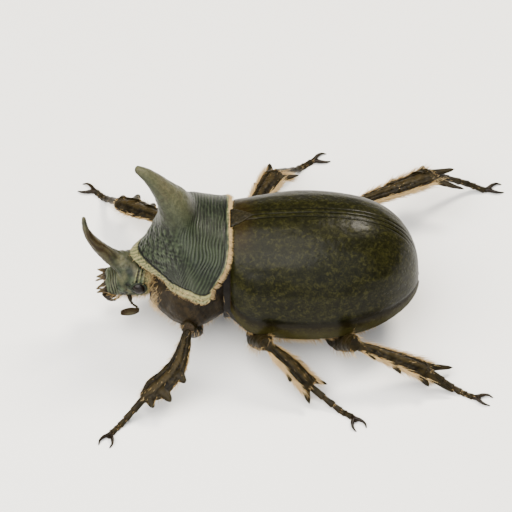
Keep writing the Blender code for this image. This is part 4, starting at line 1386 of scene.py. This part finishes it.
    def leaf(self, centre: Array, axis: Array, outwards: int) -> Surface:
        """One leaf of the club: a flat blade, egg-shaped in outline and a little bowed.

        Args:
            centre: its middle.
            axis: the direction of its length.
            outwards: the way that it bows, as the sign of y, or 0 for none.

        Returns:
            The surface, its half width a power of a sine along it, paler in the middle and thin at the edge.
        """
        place = np.linspace(0, 1, 30)
        path = centre + axis * (self.leaf_length * (place - 0.5))[:, None]
        path[:, 1] += outwards * 0.15 * np.sin(place * math.pi)
        along_leaf = np.clip(place * 0.97 + 0.02, 0, 1)
        width = self.leaf_half_width * np.sin(along_leaf**0.8 * math.pi) ** 0.55 + 0.02
        thick = 0.12 * np.sin(along_leaf * math.pi) ** 0.4 + 0.02
        leaf = tube(path, width, thick, (0, 0, 1), 26)
        middle = hump(np.cos(ring_angle(leaf)), 0, 0.75) * hump(row_share(leaf), 0.5, 0.3)
        leaf.masks["worn"] = 0.9 * middle
        leaf.masks["tan"] = 0.5 * (1 - middle)
        return leaf

    def build(self, finishes: Finishes) -> dict[str, Surface]:
        """Makes the head.

        Returns:
            The surfaces by name, for the coat to grow on."""
        parts = {"head": self.capsule(), "clypeus": self.clypeus(), "horn": self.horn()}
        add_piece("head_capsule", [parts["head"]], finishes.shield, ("head",))
        add_piece("face_plate", [parts["clypeus"]], finishes.shield, ("clypeus",))
        add_piece("head_horn_shaft", [parts["horn"]], finishes.shield, ("head_horn",))
        for side in Side:
            word = side.word
            globe, sockets = self.eye(side)
            add_piece(f"eye_globe_{word}", [globe], finishes.eye, (f"eye_{word}",))
            add_piece(f"eye_socket_{word}", sockets, finishes.shield)
            add_piece(f"jaw_{word}", [self.jaw(side)], finishes.claw, (f"mandible_{word}",))
            add_piece(f"feeler_palp_{word}", self.palp(side), finishes.limb, (f"palp_{word}",))
            stalk, leaves = self.antenna(side)
            add_piece(f"antenna_{word}", stalk, finishes.limb, (f"antenna_stalk_{word}",))
            add_piece(f"antenna_leaves_{word}", leaves, finishes.limb, (f"antenna_club_{word}",))
        return parts


# ---- legs ----


class Pair(Enum):
    """The three pairs of legs."""

    FRONT = "front"
    MIDDLE = "middle"
    HIND = "hind"


@dataclass(frozen=True)
class Tooth:
    """A tooth or spine of the shin, in millimetres and radians."""

    share: float  # where it stands along the shin
    outer: int  # 1 on the outer edge, -1 on the inner one
    length: float
    lean: float  # how far it leans to the foot
    half: float
    blunt: float  # the power by which it tapers


SPINE_LENGTH = 2.6  # a tooth longer than this is an end spine
SHIN_TEETH = {
    Pair.FRONT: (
        Tooth(0.56, 1, 1.3, 0.4, 1.4, 0.45),
        Tooth(0.82, 1, 1.9, 0.4, 1.5, 0.45),
        Tooth(0.97, 1, 1.5, 0.7, 1.2, 0.4),
    ),
    Pair.MIDDLE: (
        Tooth(0.55, -1, 1.8, 0.9, 1.0, 0.5),
        Tooth(0.92, -1, 3.4, 1.15, 1.0, 0.5),
        Tooth(0.60, 1, 1.5, 0.7, 1.1, 0.5),
        Tooth(0.95, 1, 2.8, 0.95, 1.15, 0.5),
    ),
    Pair.HIND: (
        Tooth(0.24, 1, 1.2, 0.9, 0.9, 0.5),
        Tooth(0.54, 1, 1.9, 0.8, 1.15, 0.5),
        Tooth(0.88, 1, 2.5, 0.8, 1.4, 0.5),
        Tooth(0.97, -1, 5.4, 1.25, 1.05, 0.45),
        Tooth(0.98, 1, 5.4, 1.36, 1.15, 0.45),
    ),
}
SHIN_HALF = {Pair.FRONT: (1.05, 2.4), Pair.MIDDLE: (1.0, 1.9), Pair.HIND: (1.0, 2.1)}  # at knee and foot
THIGH_SIZES = (
    # share of the way, half width, half thickness
    (0, 0.9, 0.8), (0.12, 1.35, 1.1), (0.36, 1.95, 1.42), (0.62, 1.6, 1.22), (0.8, 1.25, 1.05),
    (1, 1.05, 0.95),
)
TARSUS_SHARES = (0.24, 0.17, 0.16, 0.16, 0.27)  # lengths of its joints
CLAW_BENDS = (
    # one claw's way forwards, sideways and up from the foot's end
    (-0.5, 0.0, 0.34), (0.15, 0.28, 0.46), (0.9, 0.85, 0.5), (1.9, 1.22, 0.4), (2.9, 1.05, 0.07),
)


@dataclass
class Leg:
    """One leg, posed by its joints' places in the body frame."""

    pair: Pair
    side: Side
    hip: Point
    bow: Point
    knee: Point
    ankle: Point
    foot: tuple[Point, ...]
    claw_heading: float  # degrees from +x
    bend: float = 0.0  # how far the shin bows outwards
    teeth_turn: float = 0.0  # how far its end spines are turned, in radians, and its small teeth half as far
    fanned: bool = False  # whether the long fringe under its shin follows the foot

    def __post_init__(self) -> None:
        """Turns the joints into arrays and works out the level direction towards the shin's outer edge."""
        self.name = f"{self.pair.value}_{self.side.word}"
        self.seed = 60 + 7 * list(Pair).index(self.pair) + (3 if self.side is Side.RIGHT else 0)
        joints = (self.hip, self.bow, self.knee, self.ankle, self.foot)
        self.hip, self.bow, self.knee, self.ankle, self.foot = (np.asarray(joint, float) for joint in joints)
        across = unit(np.cross(self.ankle - self.knee, (0, 0, 1)))
        self.across = across * np.sign(across[1] * self.hip[1])

    def dress(self, part: Surface, coarse: float, fine: float) -> Surface:
        """Gives a part its wrinkles, coarse and fine, with a relief mask for its finish, and a zero tan mask
        where it has none.
        """
        points = part.points
        close = fine * Ripple(0.55, self.seed + 1).at(points)
        relief = coarse * Ripple(1.9, self.seed).at(points) + close
        part.masks["relief"] = 0.25 * relief + 0.5 * close
        part.masks.setdefault("tan", np.zeros(points.shape[:2]))
        return part.raise_by(relief)

    def coxa(self) -> Surface:
        """The coxa, a ball drawn out along the thigh."""
        part = ball(self.hip, (2.6, 1.85, 1.65), self.bow - self.hip, 40, 48)
        return self.dress(part, 0.06, 0.03)

    def femur(self) -> Surface:
        """The femur: stout in the middle, flattened, with a blunt keel behind and a rounded knee."""
        start = self.hip + unit(self.bow - self.hip) * 2.0
        past = self.knee + unit(self.knee - self.bow) * 0.75
        bends = [start, self.bow, self.knee, past]
        part = bent_tube(bends, THIGH_SIZES, self.across, (150, 72), 0.09)
        place = row_share(part)
        part.raise_by(0.16 * hump(np.abs(ring_angle(part) - math.pi), 0.0, 0.3) * hump(place, 0.45, 0.3))
        part.masks["tan"] = np.broadcast_to(0.3 * ease(place, 0.9, 0.98), part.points.shape[:2])
        return self.dress(part, 0.06, 0.025)

    def shin_path(self, count: int) -> Array:
        """The centre line of the shin, bowed by the leg's bend."""
        middle = (self.knee + self.ankle) / 2 + self.across * self.bend
        return curve_through([self.knee, middle, self.ankle], count)

    def shin_sizes(self, place: Array) -> tuple[Array, Array]:
        """Half width and half thickness of the shin, which widens to the foot and ends in a cup."""
        narrow, broad = SHIN_HALF[self.pair]
        rows = ((0, 0.72, 0.66), (0.12, narrow, 0.85), (0.4, 0.5 * (narrow + broad), 0.95))
        ends = ((0.8, broad, 0.9), (1, 0.78 * broad, 0.75))
        if self.pair is Pair.FRONT:
            ends = ((0.76, broad, 0.9), (0.9, 0.8 * broad, 0.88), (1, 0.46 * broad, 0.75))
        wide, thick = np.moveaxis(along(place, rows + ends), -1, 0)
        return wide, thick

    def tibia(self) -> list[Surface]:
        """The shin: a flattened blade, keeled above and below, and its teeth or spines on flared feet."""
        count, sides = 190, 80
        path, place = self.shin_path(count), np.linspace(0, 1, count)
        wide, thick = self.shin_sizes(place)
        ends = round_ends(count, 0.03, 0.03)
        part = tube(path, wide * ends, thick * ends, self.across, sides)
        up, outwards = np.sin(ring_angle(part)), np.abs(np.cos(ring_angle(part)))
        along_shin = ease(place, 0.05, 0.25)[:, None] * ease(place, 0.98, 0.85)[:, None]
        keel = 0.12 * hump(up, 1, 0.06) + 0.12 * hump(up, -1, 0.06)
        groove = -0.1 * hump(outwards, 0.45, 0.12) - 0.08 * hump(outwards, 0.82, 0.07)
        ribs = (keel + groove) * along_shin
        part.raise_by(ribs)
        self.dress(part, 0.06, 0.03)
        part.masks["relief"] = part.masks["relief"] + 0.6 * ribs
        return [part, *(self.tooth(tooth, path, wide) for tooth in SHIN_TEETH[self.pair])]

    def tooth(self, tooth: Tooth, path: Array, wide: Array) -> Surface:
        """One tooth or spine, rooted inside the shin's edge."""
        axis = unit(self.ankle - self.knee)
        place = tooth.share * (len(path) - 1)
        at = point_at(path, place)
        width = float(np.interp(place, range(len(path)), wide))
        out = self.across * tooth.outer
        swing = self.teeth_turn * (1.0 if tooth.length > SPINE_LENGTH else 0.5)
        lean = tooth.lean + swing * tooth.outer
        root = at + out * 0.45 * width - axis * 0.5 * tooth.lean
        tip = at + out * (width + tooth.length * math.cos(lean))
        tip = tip + axis * tooth.length * math.sin(lean)
        return self.dress(spike(root, tip, tooth.half, 0.62, axis, -axis * 0.1, tooth.blunt), 0.03, 0.015)

    def tarsus(self) -> list[Surface]:
        """Five joints, each a bell that widens to its far end and takes the next one's narrow root."""
        rows, sides = 34, 30
        axis = unit(self.foot[0] - self.ankle)
        route = curve_through([self.ankle - axis * 0.5, *self.foot], 240)
        ends = np.cumsum((0.0, *TARSUS_SHARES)) * (len(route) - 1)
        way = np.linspace(0, 1, rows)
        joints = []
        for number, (low, high) in enumerate(zip(ends[:-1], ends[1:])):
            first, last = number == 0, number == len(TARSUS_SHARES) - 1
            place = low + (high - low) * (way * 1.04 - (0.0 if first else 0.04))
            flaring = 0.5 + 0.18 * way**1.2 if last else 0.55 + 0.21 * way**2.2
            if first:
                flaring = flaring + 0.16 * (1 - way)
            size = flaring * round_ends(rows, 0.06, 0.14)
            joint = tube(point_at(route, place).T, size, 0.95 * size, self.across, sides)
            joint.masks["tan"] = np.broadcast_to(0.25 * ease(way, 0.3, 0.02)[:, None], (rows, sides))
            joints.append(stand_on_floor(self.dress(joint, 0.02, 0.015)))
        return joints

    def claws(self) -> list[Surface]:
        """Two claws that curl from the foot's end, thick at their roots, with a small pad between them."""
        heading = math.radians(self.claw_heading)
        forward = np.array([math.cos(heading), math.sin(heading), 0])
        across = np.array([-forward[1], forward[0], 0])
        root = self.foot[-1] * (1, 1, 0) + forward * 0.6
        rows = 60
        size = (0.47 - 0.39 * np.linspace(0, 1, rows) ** 1.5) * round_ends(rows, 0, 0.04)
        made = []
        for way in (-1, 1):
            bends = [root + forward * f + across * way * a + (0, 0, z) for f, a, z in CLAW_BENDS]
            claw = tube(curve_through(bends, rows), size, size, (0, 0, 1), 24)
            made.append(stand_on_floor(self.dress(claw, 0.0, 0.008)))
        pad = ball(root + forward * 0.35 + (0, 0, 0.3), (0.5, 0.26, 0.24), forward, 18, 20)
        return [*made, self.dress(pad, 0.0, 0.01)]

    def build(self, finishes: Finishes) -> dict[str, list[Surface]]:
        """Makes the leg.

        Returns:
            The surfaces by part, for the coat to grow on."""
        parts = {
            "coxa": [self.coxa()],
            "femur": [self.femur()],
            "tibia": self.tibia(),
            "tarsus": self.tarsus(),
        }
        for part, surfaces in parts.items():
            node = f"{self.name}_{part}"
            add_piece(f"{node}_skin", surfaces, finishes.limb, (node,))
        add_piece(f"{self.name}_claw_pair", self.claws(), finishes.claw, (f"{self.name}_claws",))
        return parts


LEGS = (
    Leg(
        Pair.FRONT, Side.LEFT, hip=(-6.0, -4.2, 4.8), bow=(-6.8, -9.2, 6.2), knee=(-7.6, -13.2, 10.4),
        ankle=(-16.0, -24.7, 3.4), foot=((-19.9, -28.0, 0.5), (-21.8, -30.3, 0.26)), claw_heading=-112,
        bend=2.2,
    ),
    Leg(
        Pair.FRONT, Side.RIGHT, hip=(-6.0, 4.2, 4.8), bow=(-7.4, 9.2, 6.2), knee=(-9.4, 13.8, 10.1),
        ankle=(-21.3, 26.1, 4.5), foot=((-23.9, 31.0, 0.6), (-25.4, 32.9, 0.26)), claw_heading=155,
        bend=0.2, teeth_turn=0.9,
    ),
    Leg(
        Pair.MIDDLE, Side.LEFT, hip=(4.2, -5.0, 4.4), bow=(4.9, -10.4, 5.2), knee=(6.6, -16.6, 9.9),
        ankle=(15.0, -21.1, 3.0), foot=((20.0, -24.3, 0.5), (22.6, -26.2, 0.26)), claw_heading=-62,
        bend=-0.3,
    ),
    Leg(
        Pair.MIDDLE, Side.RIGHT, hip=(4.2, 5.0, 4.4), bow=(4.0, 10.8, 5.2), knee=(3.2, 17.0, 9.7),
        ankle=(8.6, 30.4, 8.0), foot=((12.7, 38.4, 1.0), (15.4, 41.2, 0.26)), claw_heading=22,
        teeth_turn=0.44, fanned=True,
    ),
    Leg(
        Pair.HIND, Side.LEFT, hip=(15.6, -5.2, 4.3), bow=(20.0, -10.2, 4.5), knee=(22.8, -16.8, 10.0),
        ankle=(37.0, -17.5, 3.2), foot=((42.2, -19.6, 0.5), (45.0, -21.1, 0.26)), claw_heading=-16,
    ),
    Leg(
        Pair.HIND, Side.RIGHT, hip=(15.6, 5.2, 4.3), bow=(18.6, 11.4, 4.8), knee=(22.6, 18.5, 11.0),
        ankle=(38.4, 29.5, 8.2), foot=((44.4, 33.2, 2.4), (48.2, 33.4, 0.26)), claw_heading=12,
        teeth_turn=0.6,
    ),
)


# ---- coat ----


@dataclass(frozen=True)
class Style:
    """How setae stand: their length in millimetres, how far they lie over, and how coarse they are.

    Real setae are 0.02 to 0.04 mm thick. They are drawn up to 0.09 mm thick, so that they show."""

    length: float
    lean: float = 0.5  # 0 stands straight out, 1 lies along the flow
    curl: float = 0.3  # how far the tip bends over, as a share of the length
    scatter: float = 0.25
    half: float = 0.032
    uneven: float = 0.35  # how much the length varies


class Coat:
    """A mesh of setae. Each is a three-sided spine on a bent line, rooted in a host surface.

    Its UV map gives each seta a small patch at its root's place in the host's own rows and columns."""

    RINGS = 4  # of three points each, and then the tip
    PATCH = 0.003  # size of a seta's patch in the UV map
    ROOT_DEPTH = 0.06  # how far a seta starts inside its host, and how near the floor it may come

    def __init__(self, name: str, seed: int, hosts: int) -> None:
        """Starts an empty coat.

        Args:
            name: the piece's name.
            seed: for its random draws.
            hosts: how many surfaces it will grow on, for the layout of its UV map.
        """
        self.name = name
        self.random = np.random.default_rng(seed)
        self.across = math.ceil(math.sqrt(hosts))
        self.planted = 0
        self.points: list[Array] = []
        self.places: list[Array] = []
        self.tones: list[Array] = []

    def roots(self, host: Surface, weight: Array | float, count: int) -> tuple[Array, Array, Array]:
        """Draws root places with a chance that goes with weight times area.

        Args:
            host: the surface.
            weight: how thickly they stand, of a shape that spreads over its points.
            count: how many roots.

        Returns:
            The roots, the normals there and their places in the UV map.
        """
        points, normals = host.points, host.normals()
        rows, columns = points.shape[:2]
        right = np.roll(points, -1, axis=1)
        area = np.linalg.norm(np.cross(points[1:] - points[:-1], right[:-1] - points[:-1]), axis=-1)
        chance = (np.broadcast_to(weight, (rows, columns))[:-1] * area).ravel()
        picked = self.random.choice(len(chance), count, p=chance / chance.sum())
        row, column = np.divmod(picked, columns)
        down, over = self.random.uniform(0, 1, (2, count, 1))
        after = (column + 1) % columns
        root = (1 - down) * ((1 - over) * points[row, column] + over * points[row, after])
        root = root + down * ((1 - over) * points[row + 1, column] + over * points[row + 1, after])
        share = np.hstack([(row[:, None] + down) / rows, (column[:, None] + over) / columns])
        cell = np.array([self.planted % self.across, self.planted // self.across])
        self.planted += 1
        return root, normals[row, column], (cell + 0.02 + 0.94 * share) / self.across

    def grow(
        self,
        host: Surface,
        weight: Array | float,
        count: int,
        style: Style,
        flow: Array | Point,
        aim: Array | None = None,
    ) -> None:
        """Grows setae on a host: each centre line is a parabola from its root over to the flow.

        Args:
            host: the surface that they stand on.
            weight: how thickly they stand, of a shape that spreads over the host's points.
            count: how many there are.
            style: how they stand.
            flow: the direction in which they lie over.
            aim: the point where their tips meet in a tuft, if they do.
        """
        root, normal, place = self.roots(host, weight, count)
        flow = np.broadcast_to(unit(flow), root.shape)
        length = style.length * (1 + style.uneven * self.random.uniform(-1, 0.6, (count, 1)))
        stray = self.random.normal(size=(count, 3)) * style.scatter
        if aim is None:
            heading = unit((1 - style.lean) * normal + style.lean * flow + stray)
        else:
            to_aim = np.asarray(aim, float) - root
            length = np.linalg.norm(to_aim, axis=-1, keepdims=True)
            length = length * self.random.uniform(0.8, 1.04, (count, 1))
            heading = unit(unit(to_aim) + 0.12 * stray)
        way = np.linspace(0, 1, self.RINGS + 1)[:, None, None]
        line = root - self.ROOT_DEPTH * normal + length * (heading * way + style.curl * flow * way**2)
        line[..., 2] = np.maximum(line[..., 2], self.ROOT_DEPTH)
        side = unit(np.cross(heading, normal + 0.3 * stray + 1e-3))
        up = np.cross(heading, side)
        turn = circle(3)
        ring = side[:, None] * np.cos(turn)[:, None] + up[:, None] * np.sin(turn)[:, None]
        taper = style.half * (1 - 0.8 * way[:-1, ..., None] ** 1.3)
        size = taper * self.random.uniform(0.75, 1.2, (count, 1, 1))
        tube_points = line[:-1, :, None] + ring * size
        shaft = np.moveaxis(tube_points, 0, 1).reshape(count, -1, 3)
        self.points.append(np.concatenate([shaft, line[-1][:, None]], axis=1))
        self.places.append(place)
        self.tones.append(self.random.uniform(0, 1, count))

    def faces(self) -> Array:
        """The faces of one seta as triangles: its root, its shaft and its tip."""
        ring = np.arange(self.RINGS * 3).reshape(self.RINGS, 3)
        after = np.roll(ring, -1, axis=1)
        one = np.stack([ring[:-1], after[:-1], after[1:]], -1).reshape(-1, 3)
        two = np.stack([ring[:-1], after[1:], ring[1:]], -1).reshape(-1, 3)
        tip = np.stack([ring[-1], after[-1], np.full(3, self.RINGS * 3)], -1)
        return np.vstack([ring[:1, ::-1], one, two, tip])

    def build(self, finish: bpy.types.Material, slot: Slot) -> None:
        """Makes the piece: its mesh, its UV map and the masks that its finish reads."""
        setae = np.concatenate(self.points)
        place = np.concatenate(self.places)
        tone = np.concatenate(self.tones)
        count, each = setae.shape[:2]
        faces = self.faces()
        if Coat.inside_out(setae[0], faces):
            faces = faces[:, ::-1]
        every = (faces[None] + each * np.arange(count)[:, None, None]).reshape(-1, 3)
        mesh = bpy.data.meshes.new(self.name)
        mesh.from_pydata(((setae.reshape(-1, 3) + SHIFT) * MM).tolist(), [], every.tolist())
        way = np.append(np.repeat(np.arange(self.RINGS) / self.RINGS, 3), 1.0)
        values = {"tone": np.repeat(tone, each), "way": np.tile(way, count)}
        for mask, numbers in values.items():
            mesh.attributes.new(mask, "FLOAT", "POINT").data.foreach_set("value", numbers.astype(np.float32))
        offset = np.stack([way, np.append(np.tile([0.0, 0.5, 1.0], self.RINGS), 0.5)], -1) * self.PATCH
        corner = (place[:, None] + offset[None]).reshape(-1, 2)[every.ravel()]
        mesh.uv_layers.new(name="OFBake").data.foreach_set("uv", corner.astype(np.float32).ravel())
        mesh.materials.append(finish)
        mesh.shade_smooth()
        place_piece(bpy.data.objects.new(self.name, mesh))

    @staticmethod
    def inside_out(points: Array, faces: Array) -> bool:
        """Whether a seta's faces point inwards, by the sign of its volume."""
        a, b, c = (points[faces[:, k]] - points.mean(0) for k in range(3))
        return float(np.sum(a * np.cross(b, c))) < 0


def leg_coat(leg: Leg, parts: dict[str, list[Surface]], finishes: Finishes) -> None:
    """The setae of one leg: fringes along the thigh and both edges of the shin, and hairs on the foot.

    The front legs carry a sparse fringe, the others a thick one. A fanned fringe stops short on the shin's
    inner edge and goes on as long setae that point to the foot."""
    sparse = leg.pair is Pair.FRONT
    coat = Coat(f"{leg.name}_setae", leg.seed, 10)
    femur, tibia = parts["femur"][0], parts["tibia"][0]
    to_foot = unit(leg.ankle - leg.knee)
    outer, place = np.cos(ring_angle(femur)), row_share(femur)
    edge = hump(np.abs(outer), 1, 0.1) * ease(place, 0.2, 0.5) * ease(place, 0.98, 0.9)
    style = Style(1.0 if sparse else 1.4, 0.6, 0.35, 0.2, 0.028)
    coat.grow(femur, edge, 60 if sparse else 130, style, unit(leg.knee - leg.hip) - (0, 0, 0.3))
    outer, place = np.cos(ring_angle(tibia)), row_share(tibia)
    rim = hump(outer, 1, 0.05) + hump(outer, -1, 0.05)
    rim = rim * ease(place, 0.03, 0.2) * ease(place, 1.0, 0.9)
    if leg.fanned:
        rim = rim * np.where(outer < 0, ease(place, 0.9, 0.7), 1)
    style = Style(1.0, 0.6, 0.3, 0.14, 0.036) if sparse else Style(2.0, 0.68, 0.3, 0.1, 0.045)
    coat.grow(tibia, rim, 200 if sparse else 1000, style, to_foot)
    coat.grow(tibia, 1.0, 60, Style(0.6, 0.8, 0.2, 0.15, 0.024), to_foot)
    if leg.fanned:
        height = z_of(tibia.points)
        below = height < height.mean(axis=1, keepdims=True)
        fan = ease(place, 0.9, 0.97) * below * (outer < 0.2)
        flow = unit(leg.foot[0] - leg.ankle) - 0.35 * leg.across
        coat.grow(tibia, fan, 520, Style(4.4, 0.93, 0.05, 0.055, 0.045), flow)
    coat.grow(tibia, ease(place, 0.93, 0.99), 60, Style(0.7, 0.8, 0.1, 0.2, 0.03), to_foot)
    for joint in parts["tarsus"]:
        to_claw = unit(joint.points[-1].mean(0) - joint.points[0].mean(0))
        thicker = ease(row_share(joint), 0.55, 0.9) + 0.15
        coat.grow(joint, thicker, 12, Style(0.6, 0.8, 0.2, 0.15, 0.026), to_claw)
    coat.build(finishes.hair, Slot.LIMB)


def body_coat(thorax: dict[str, Surface], rear: dict[str, Surface], finishes: Finishes) -> None:
    """The setae of the body: under the collar, on the chest, below the wing cases and on the tail plate."""
    chest, shield = thorax["prosternum"], thorax["pronotum"]
    coat = Coat("chest_setae", 171, 3)
    x, z = chest.points[..., 0], z_of(chest.points)
    low = ease(z, 9.0, 6.5) * 0.5 + 0.8 * hump(x, -13.9, 0.6) * ease(z, 16, 13)
    coat.grow(chest, low, 2200, Style(1.1, 0.6, 0.35, 0.25, 0.028), (-0.35, 0, -1))
    x, z = shield.points[..., 0], z_of(shield.points)
    under = shield.masks["pale"] * ease(z, 26, 22) * (x < -0.6)
    coat.grow(shield, under, 2200, Style(0.55, 0.75, 0.3, 0.25, 0.026), (-0.6, 0, -0.8))
    hind = ease(row_share(shield), 0.982, 0.995) * ease(z, 16.5, 17.5)
    coat.grow(shield, hind, 1500, Style(0.75, 0.8, 0.45, 0.2, 0.03), (0.9, 0, -0.45))
    coat.build(finishes.hair, Slot.BELLY)
    coat = Coat("belly_setae", 172, 4)
    patches = {
        # how many, how long, up to which height they stand thickly and where they end, and the least weight
        "hind_thorax": (2600, 1.2, 7.5, 9.5, 0.02),
        "abdomen": (1500, 0.8, 7.5, 9.5, 0.02),
        "pygidium": (800, 1.0, 12, 26, 0.0),
    }
    for name, (count, length, full, bare, least) in patches.items():
        weight = ease(z_of(rear[name].points), bare, full) + least
        coat.grow(rear[name], weight, count, Style(length, 0.6, 0.3, 0.25), (0.8, 0, -0.6))
    coat.build(finishes.hair, Slot.BELLY)


def head_coat(head: dict[str, Surface], finishes: Finishes) -> None:
    """The setae of the head: a row of dark tufts before the clypeus, a golden beard and a nape fringe."""
    face, skull = head["clypeus"], head["head"]
    tufts = Coat("face_tufts", 173, 6)
    x, y, z = np.moveaxis(face.points, -1, 0)
    front = hump(x, -22.7, 0.25) * ease(z, 10.6, 9.8) * ease(z, 8.9, 9.3)
    for number, across in enumerate((-2.3, -1.15, 0.0, 1.15, 2.3)):
        aim = np.array([-25.1 + 0.13 * abs(across), across * 1.35, 9.3 + 0.3 * math.cos(3.0 * number)])
        style = Style(2.0, 0.9, 0.0, 0.3, 0.045)
        tufts.grow(face, hump(y, across, 0.26) * front, 240, style, (-1, 0, 0.1), aim)
    tufts.build(finishes.bristle, Slot.CLAW)
    coat = Coat("head_setae", 174, 3)
    coat.grow(face, ease(z, 9.3, 8.5), 700, Style(1.2, 0.7, 0.2, 0.3), (-1, 0, -0.5))
    x, z = skull.points[..., 0], z_of(skull.points)
    coat.grow(skull, ease(z, 9.6, 8.6), 1300, Style(1.3, 0.6, 0.2, 0.3), (-0.8, 0, -0.8))
    nape = hump(x, -15.0, 0.6) * ease(z, 9.5, 11.0)
    coat.grow(skull, nape, 900, Style(0.7, 0.6, 0.2, 0.25, 0.026), (-1, 0, 0.3))
    coat.build(finishes.hair, Slot.SHIELD)


# ---- stage ----


@dataclass(frozen=True)
class Lamp:
    """A soft round lamp: where it stands and how wide it is in metres, its power in watts and its colour."""

    name: str
    place: Point
    width: float
    power: float
    colour: str


@dataclass
class Stage:
    """A plain pale floor under soft studio light, and the camera, in metres."""

    lamps: tuple[Lamp, ...] = (
        Lamp("key", (-0.20, -0.16, 0.42), 0.66, 9.2, "#fffaf2"),
        Lamp("fill", (0.06, -0.42, 0.30), 0.6, 2.4, "#f4f7ff"),
        Lamp("rear", (0.20, 0.20, 0.42), 0.17, 4.2, "#fff6e6"),
    )
    surround: float = 0.18  # strength of the pale surrounding
    floor_half: float = 3.0
    target: Point = (-0.00657, -0.004833, 0.0161)
    distance: float = 1.5
    elevation: float = 45.0  # degrees above the floor
    lens: float = 569.6  # millimetres

    def floor_material(self) -> bpy.types.Material:
        """A matt, almost white laminate: a faint cloudy tint, a fine tooth and a slight sheen."""
        made = blank_material("pale_laminate")
        tree = made.node_tree
        place = add_node(tree, "ShaderNodeTexCoord").outputs["Object"]
        clouds = add_node(
            tree, "ShaderNodeTexNoise", {"Vector": place, "Scale": per_metre(60.0), "Detail": 3.0}
        ).outputs["Fac"]
        tooth = add_node(
            tree, "ShaderNodeTexNoise", {"Vector": place, "Scale": per_metre(0.5), "Detail": 3.0}
        ).outputs["Fac"]
        colour = add_node(
            tree, "ShaderNodeMix", {0: clouds, 6: linear("#f4f4f2"), 7: linear("#efefec")}, data_type="RGBA"
        ).outputs[2]
        inputs = {"Value": tooth, "To Min": 0.6, "To Max": 0.75}
        rough = add_node(tree, "ShaderNodeMapRange", inputs).outputs[0]
        inputs = {"Height": tooth, "Strength": 0.15, "Distance": 0.02 * MM}
        bump = add_node(tree, "ShaderNodeBump", inputs).outputs[0]
        inputs = {"Base Color": colour, "Roughness": rough, "Normal": bump, "IOR": 1.4}
        shader = add_node(tree, "ShaderNodeBsdfPrincipled", inputs)
        add_node(tree, "ShaderNodeOutputMaterial", {"Surface": shader.outputs[0]})
        return made

    def floor(self) -> None:
        """Lays a square floor at the height that the feet rest on."""
        mesh = bpy.data.meshes.new("floor")
        corners = np.array([(-1, -1, 0), (1, -1, 0), (1, 1, 0), (-1, 1, 0)]) * self.floor_half
        mesh.from_pydata(corners.tolist(), [], [(0, 1, 2, 3)])
        mesh.materials.append(self.floor_material())
        made = bpy.data.objects.new("floor", mesh)
        bpy.context.scene.collection.objects.link(made)

    def aim(self, thing: bpy.types.Object, place: Array) -> None:
        """Stands a lamp or the camera at a place and turns it to the target."""
        to_target = np.asarray(self.target) - place
        flat = math.hypot(to_target[0], to_target[1])
        thing.location = tuple(place)
        thing.rotation_euler = (math.atan2(flat, -to_target[2]), 0.0, math.atan2(-to_target[0], to_target[1]))

    def light(self) -> None:
        """Hangs the lamps and sets a pale surrounding."""
        for lamp in self.lamps:
            data = bpy.data.lights.new(lamp.name, "AREA")
            data.shape = "DISK"
            data.size = lamp.width
            data.energy = lamp.power
            data.color = linear(lamp.colour)[:3]
            made = bpy.data.objects.new(lamp.name, data)
            bpy.context.scene.collection.objects.link(made)
            self.aim(made, np.asarray(lamp.place))
        world = bpy.data.worlds.new("studio")
        world.use_nodes = True
        back = world.node_tree.nodes["Background"]
        back.inputs["Color"].default_value = linear("#f4f6f8")
        back.inputs["Strength"].default_value = self.surround
        bpy.context.scene.world = world

    def camera(self) -> None:
        """A long lens, from the beetle's left and from above."""
        data = bpy.data.cameras.new("camera")
        data.type = "PERSP"
        data.lens = self.lens
        data.clip_start = 0.01
        data.clip_end = 20.0
        made = bpy.data.objects.new("camera", data)
        bpy.context.scene.collection.objects.link(made)
        rise = math.radians(self.elevation)
        away = self.distance * np.array([0, -math.cos(rise), math.sin(rise)])
        self.aim(made, np.asarray(self.target) + away)
        bpy.context.scene.camera = made

    def build(self) -> None:
        """Sets the whole stage."""
        self.floor()
        self.light()
        self.camera()


# ---- assembly ----


def main() -> None:
    """Builds the beetle, its hairs and its stage."""
    logging.basicConfig(level=logging.INFO, format="%(message)s")
    finishes = Finishes()
    cases = WingCases()
    cases.build(finishes)
    rear = Underside(cases).build(finishes)
    thorax = Prothorax().build(finishes)
    head = Head().build(finishes)
    for leg in LEGS:
        leg_coat(leg, leg.build(finishes), finishes)
    body_coat(thorax, rear, finishes)
    head_coat(head, finishes)
    Stage().build()


if __name__ == "__main__":
    main()
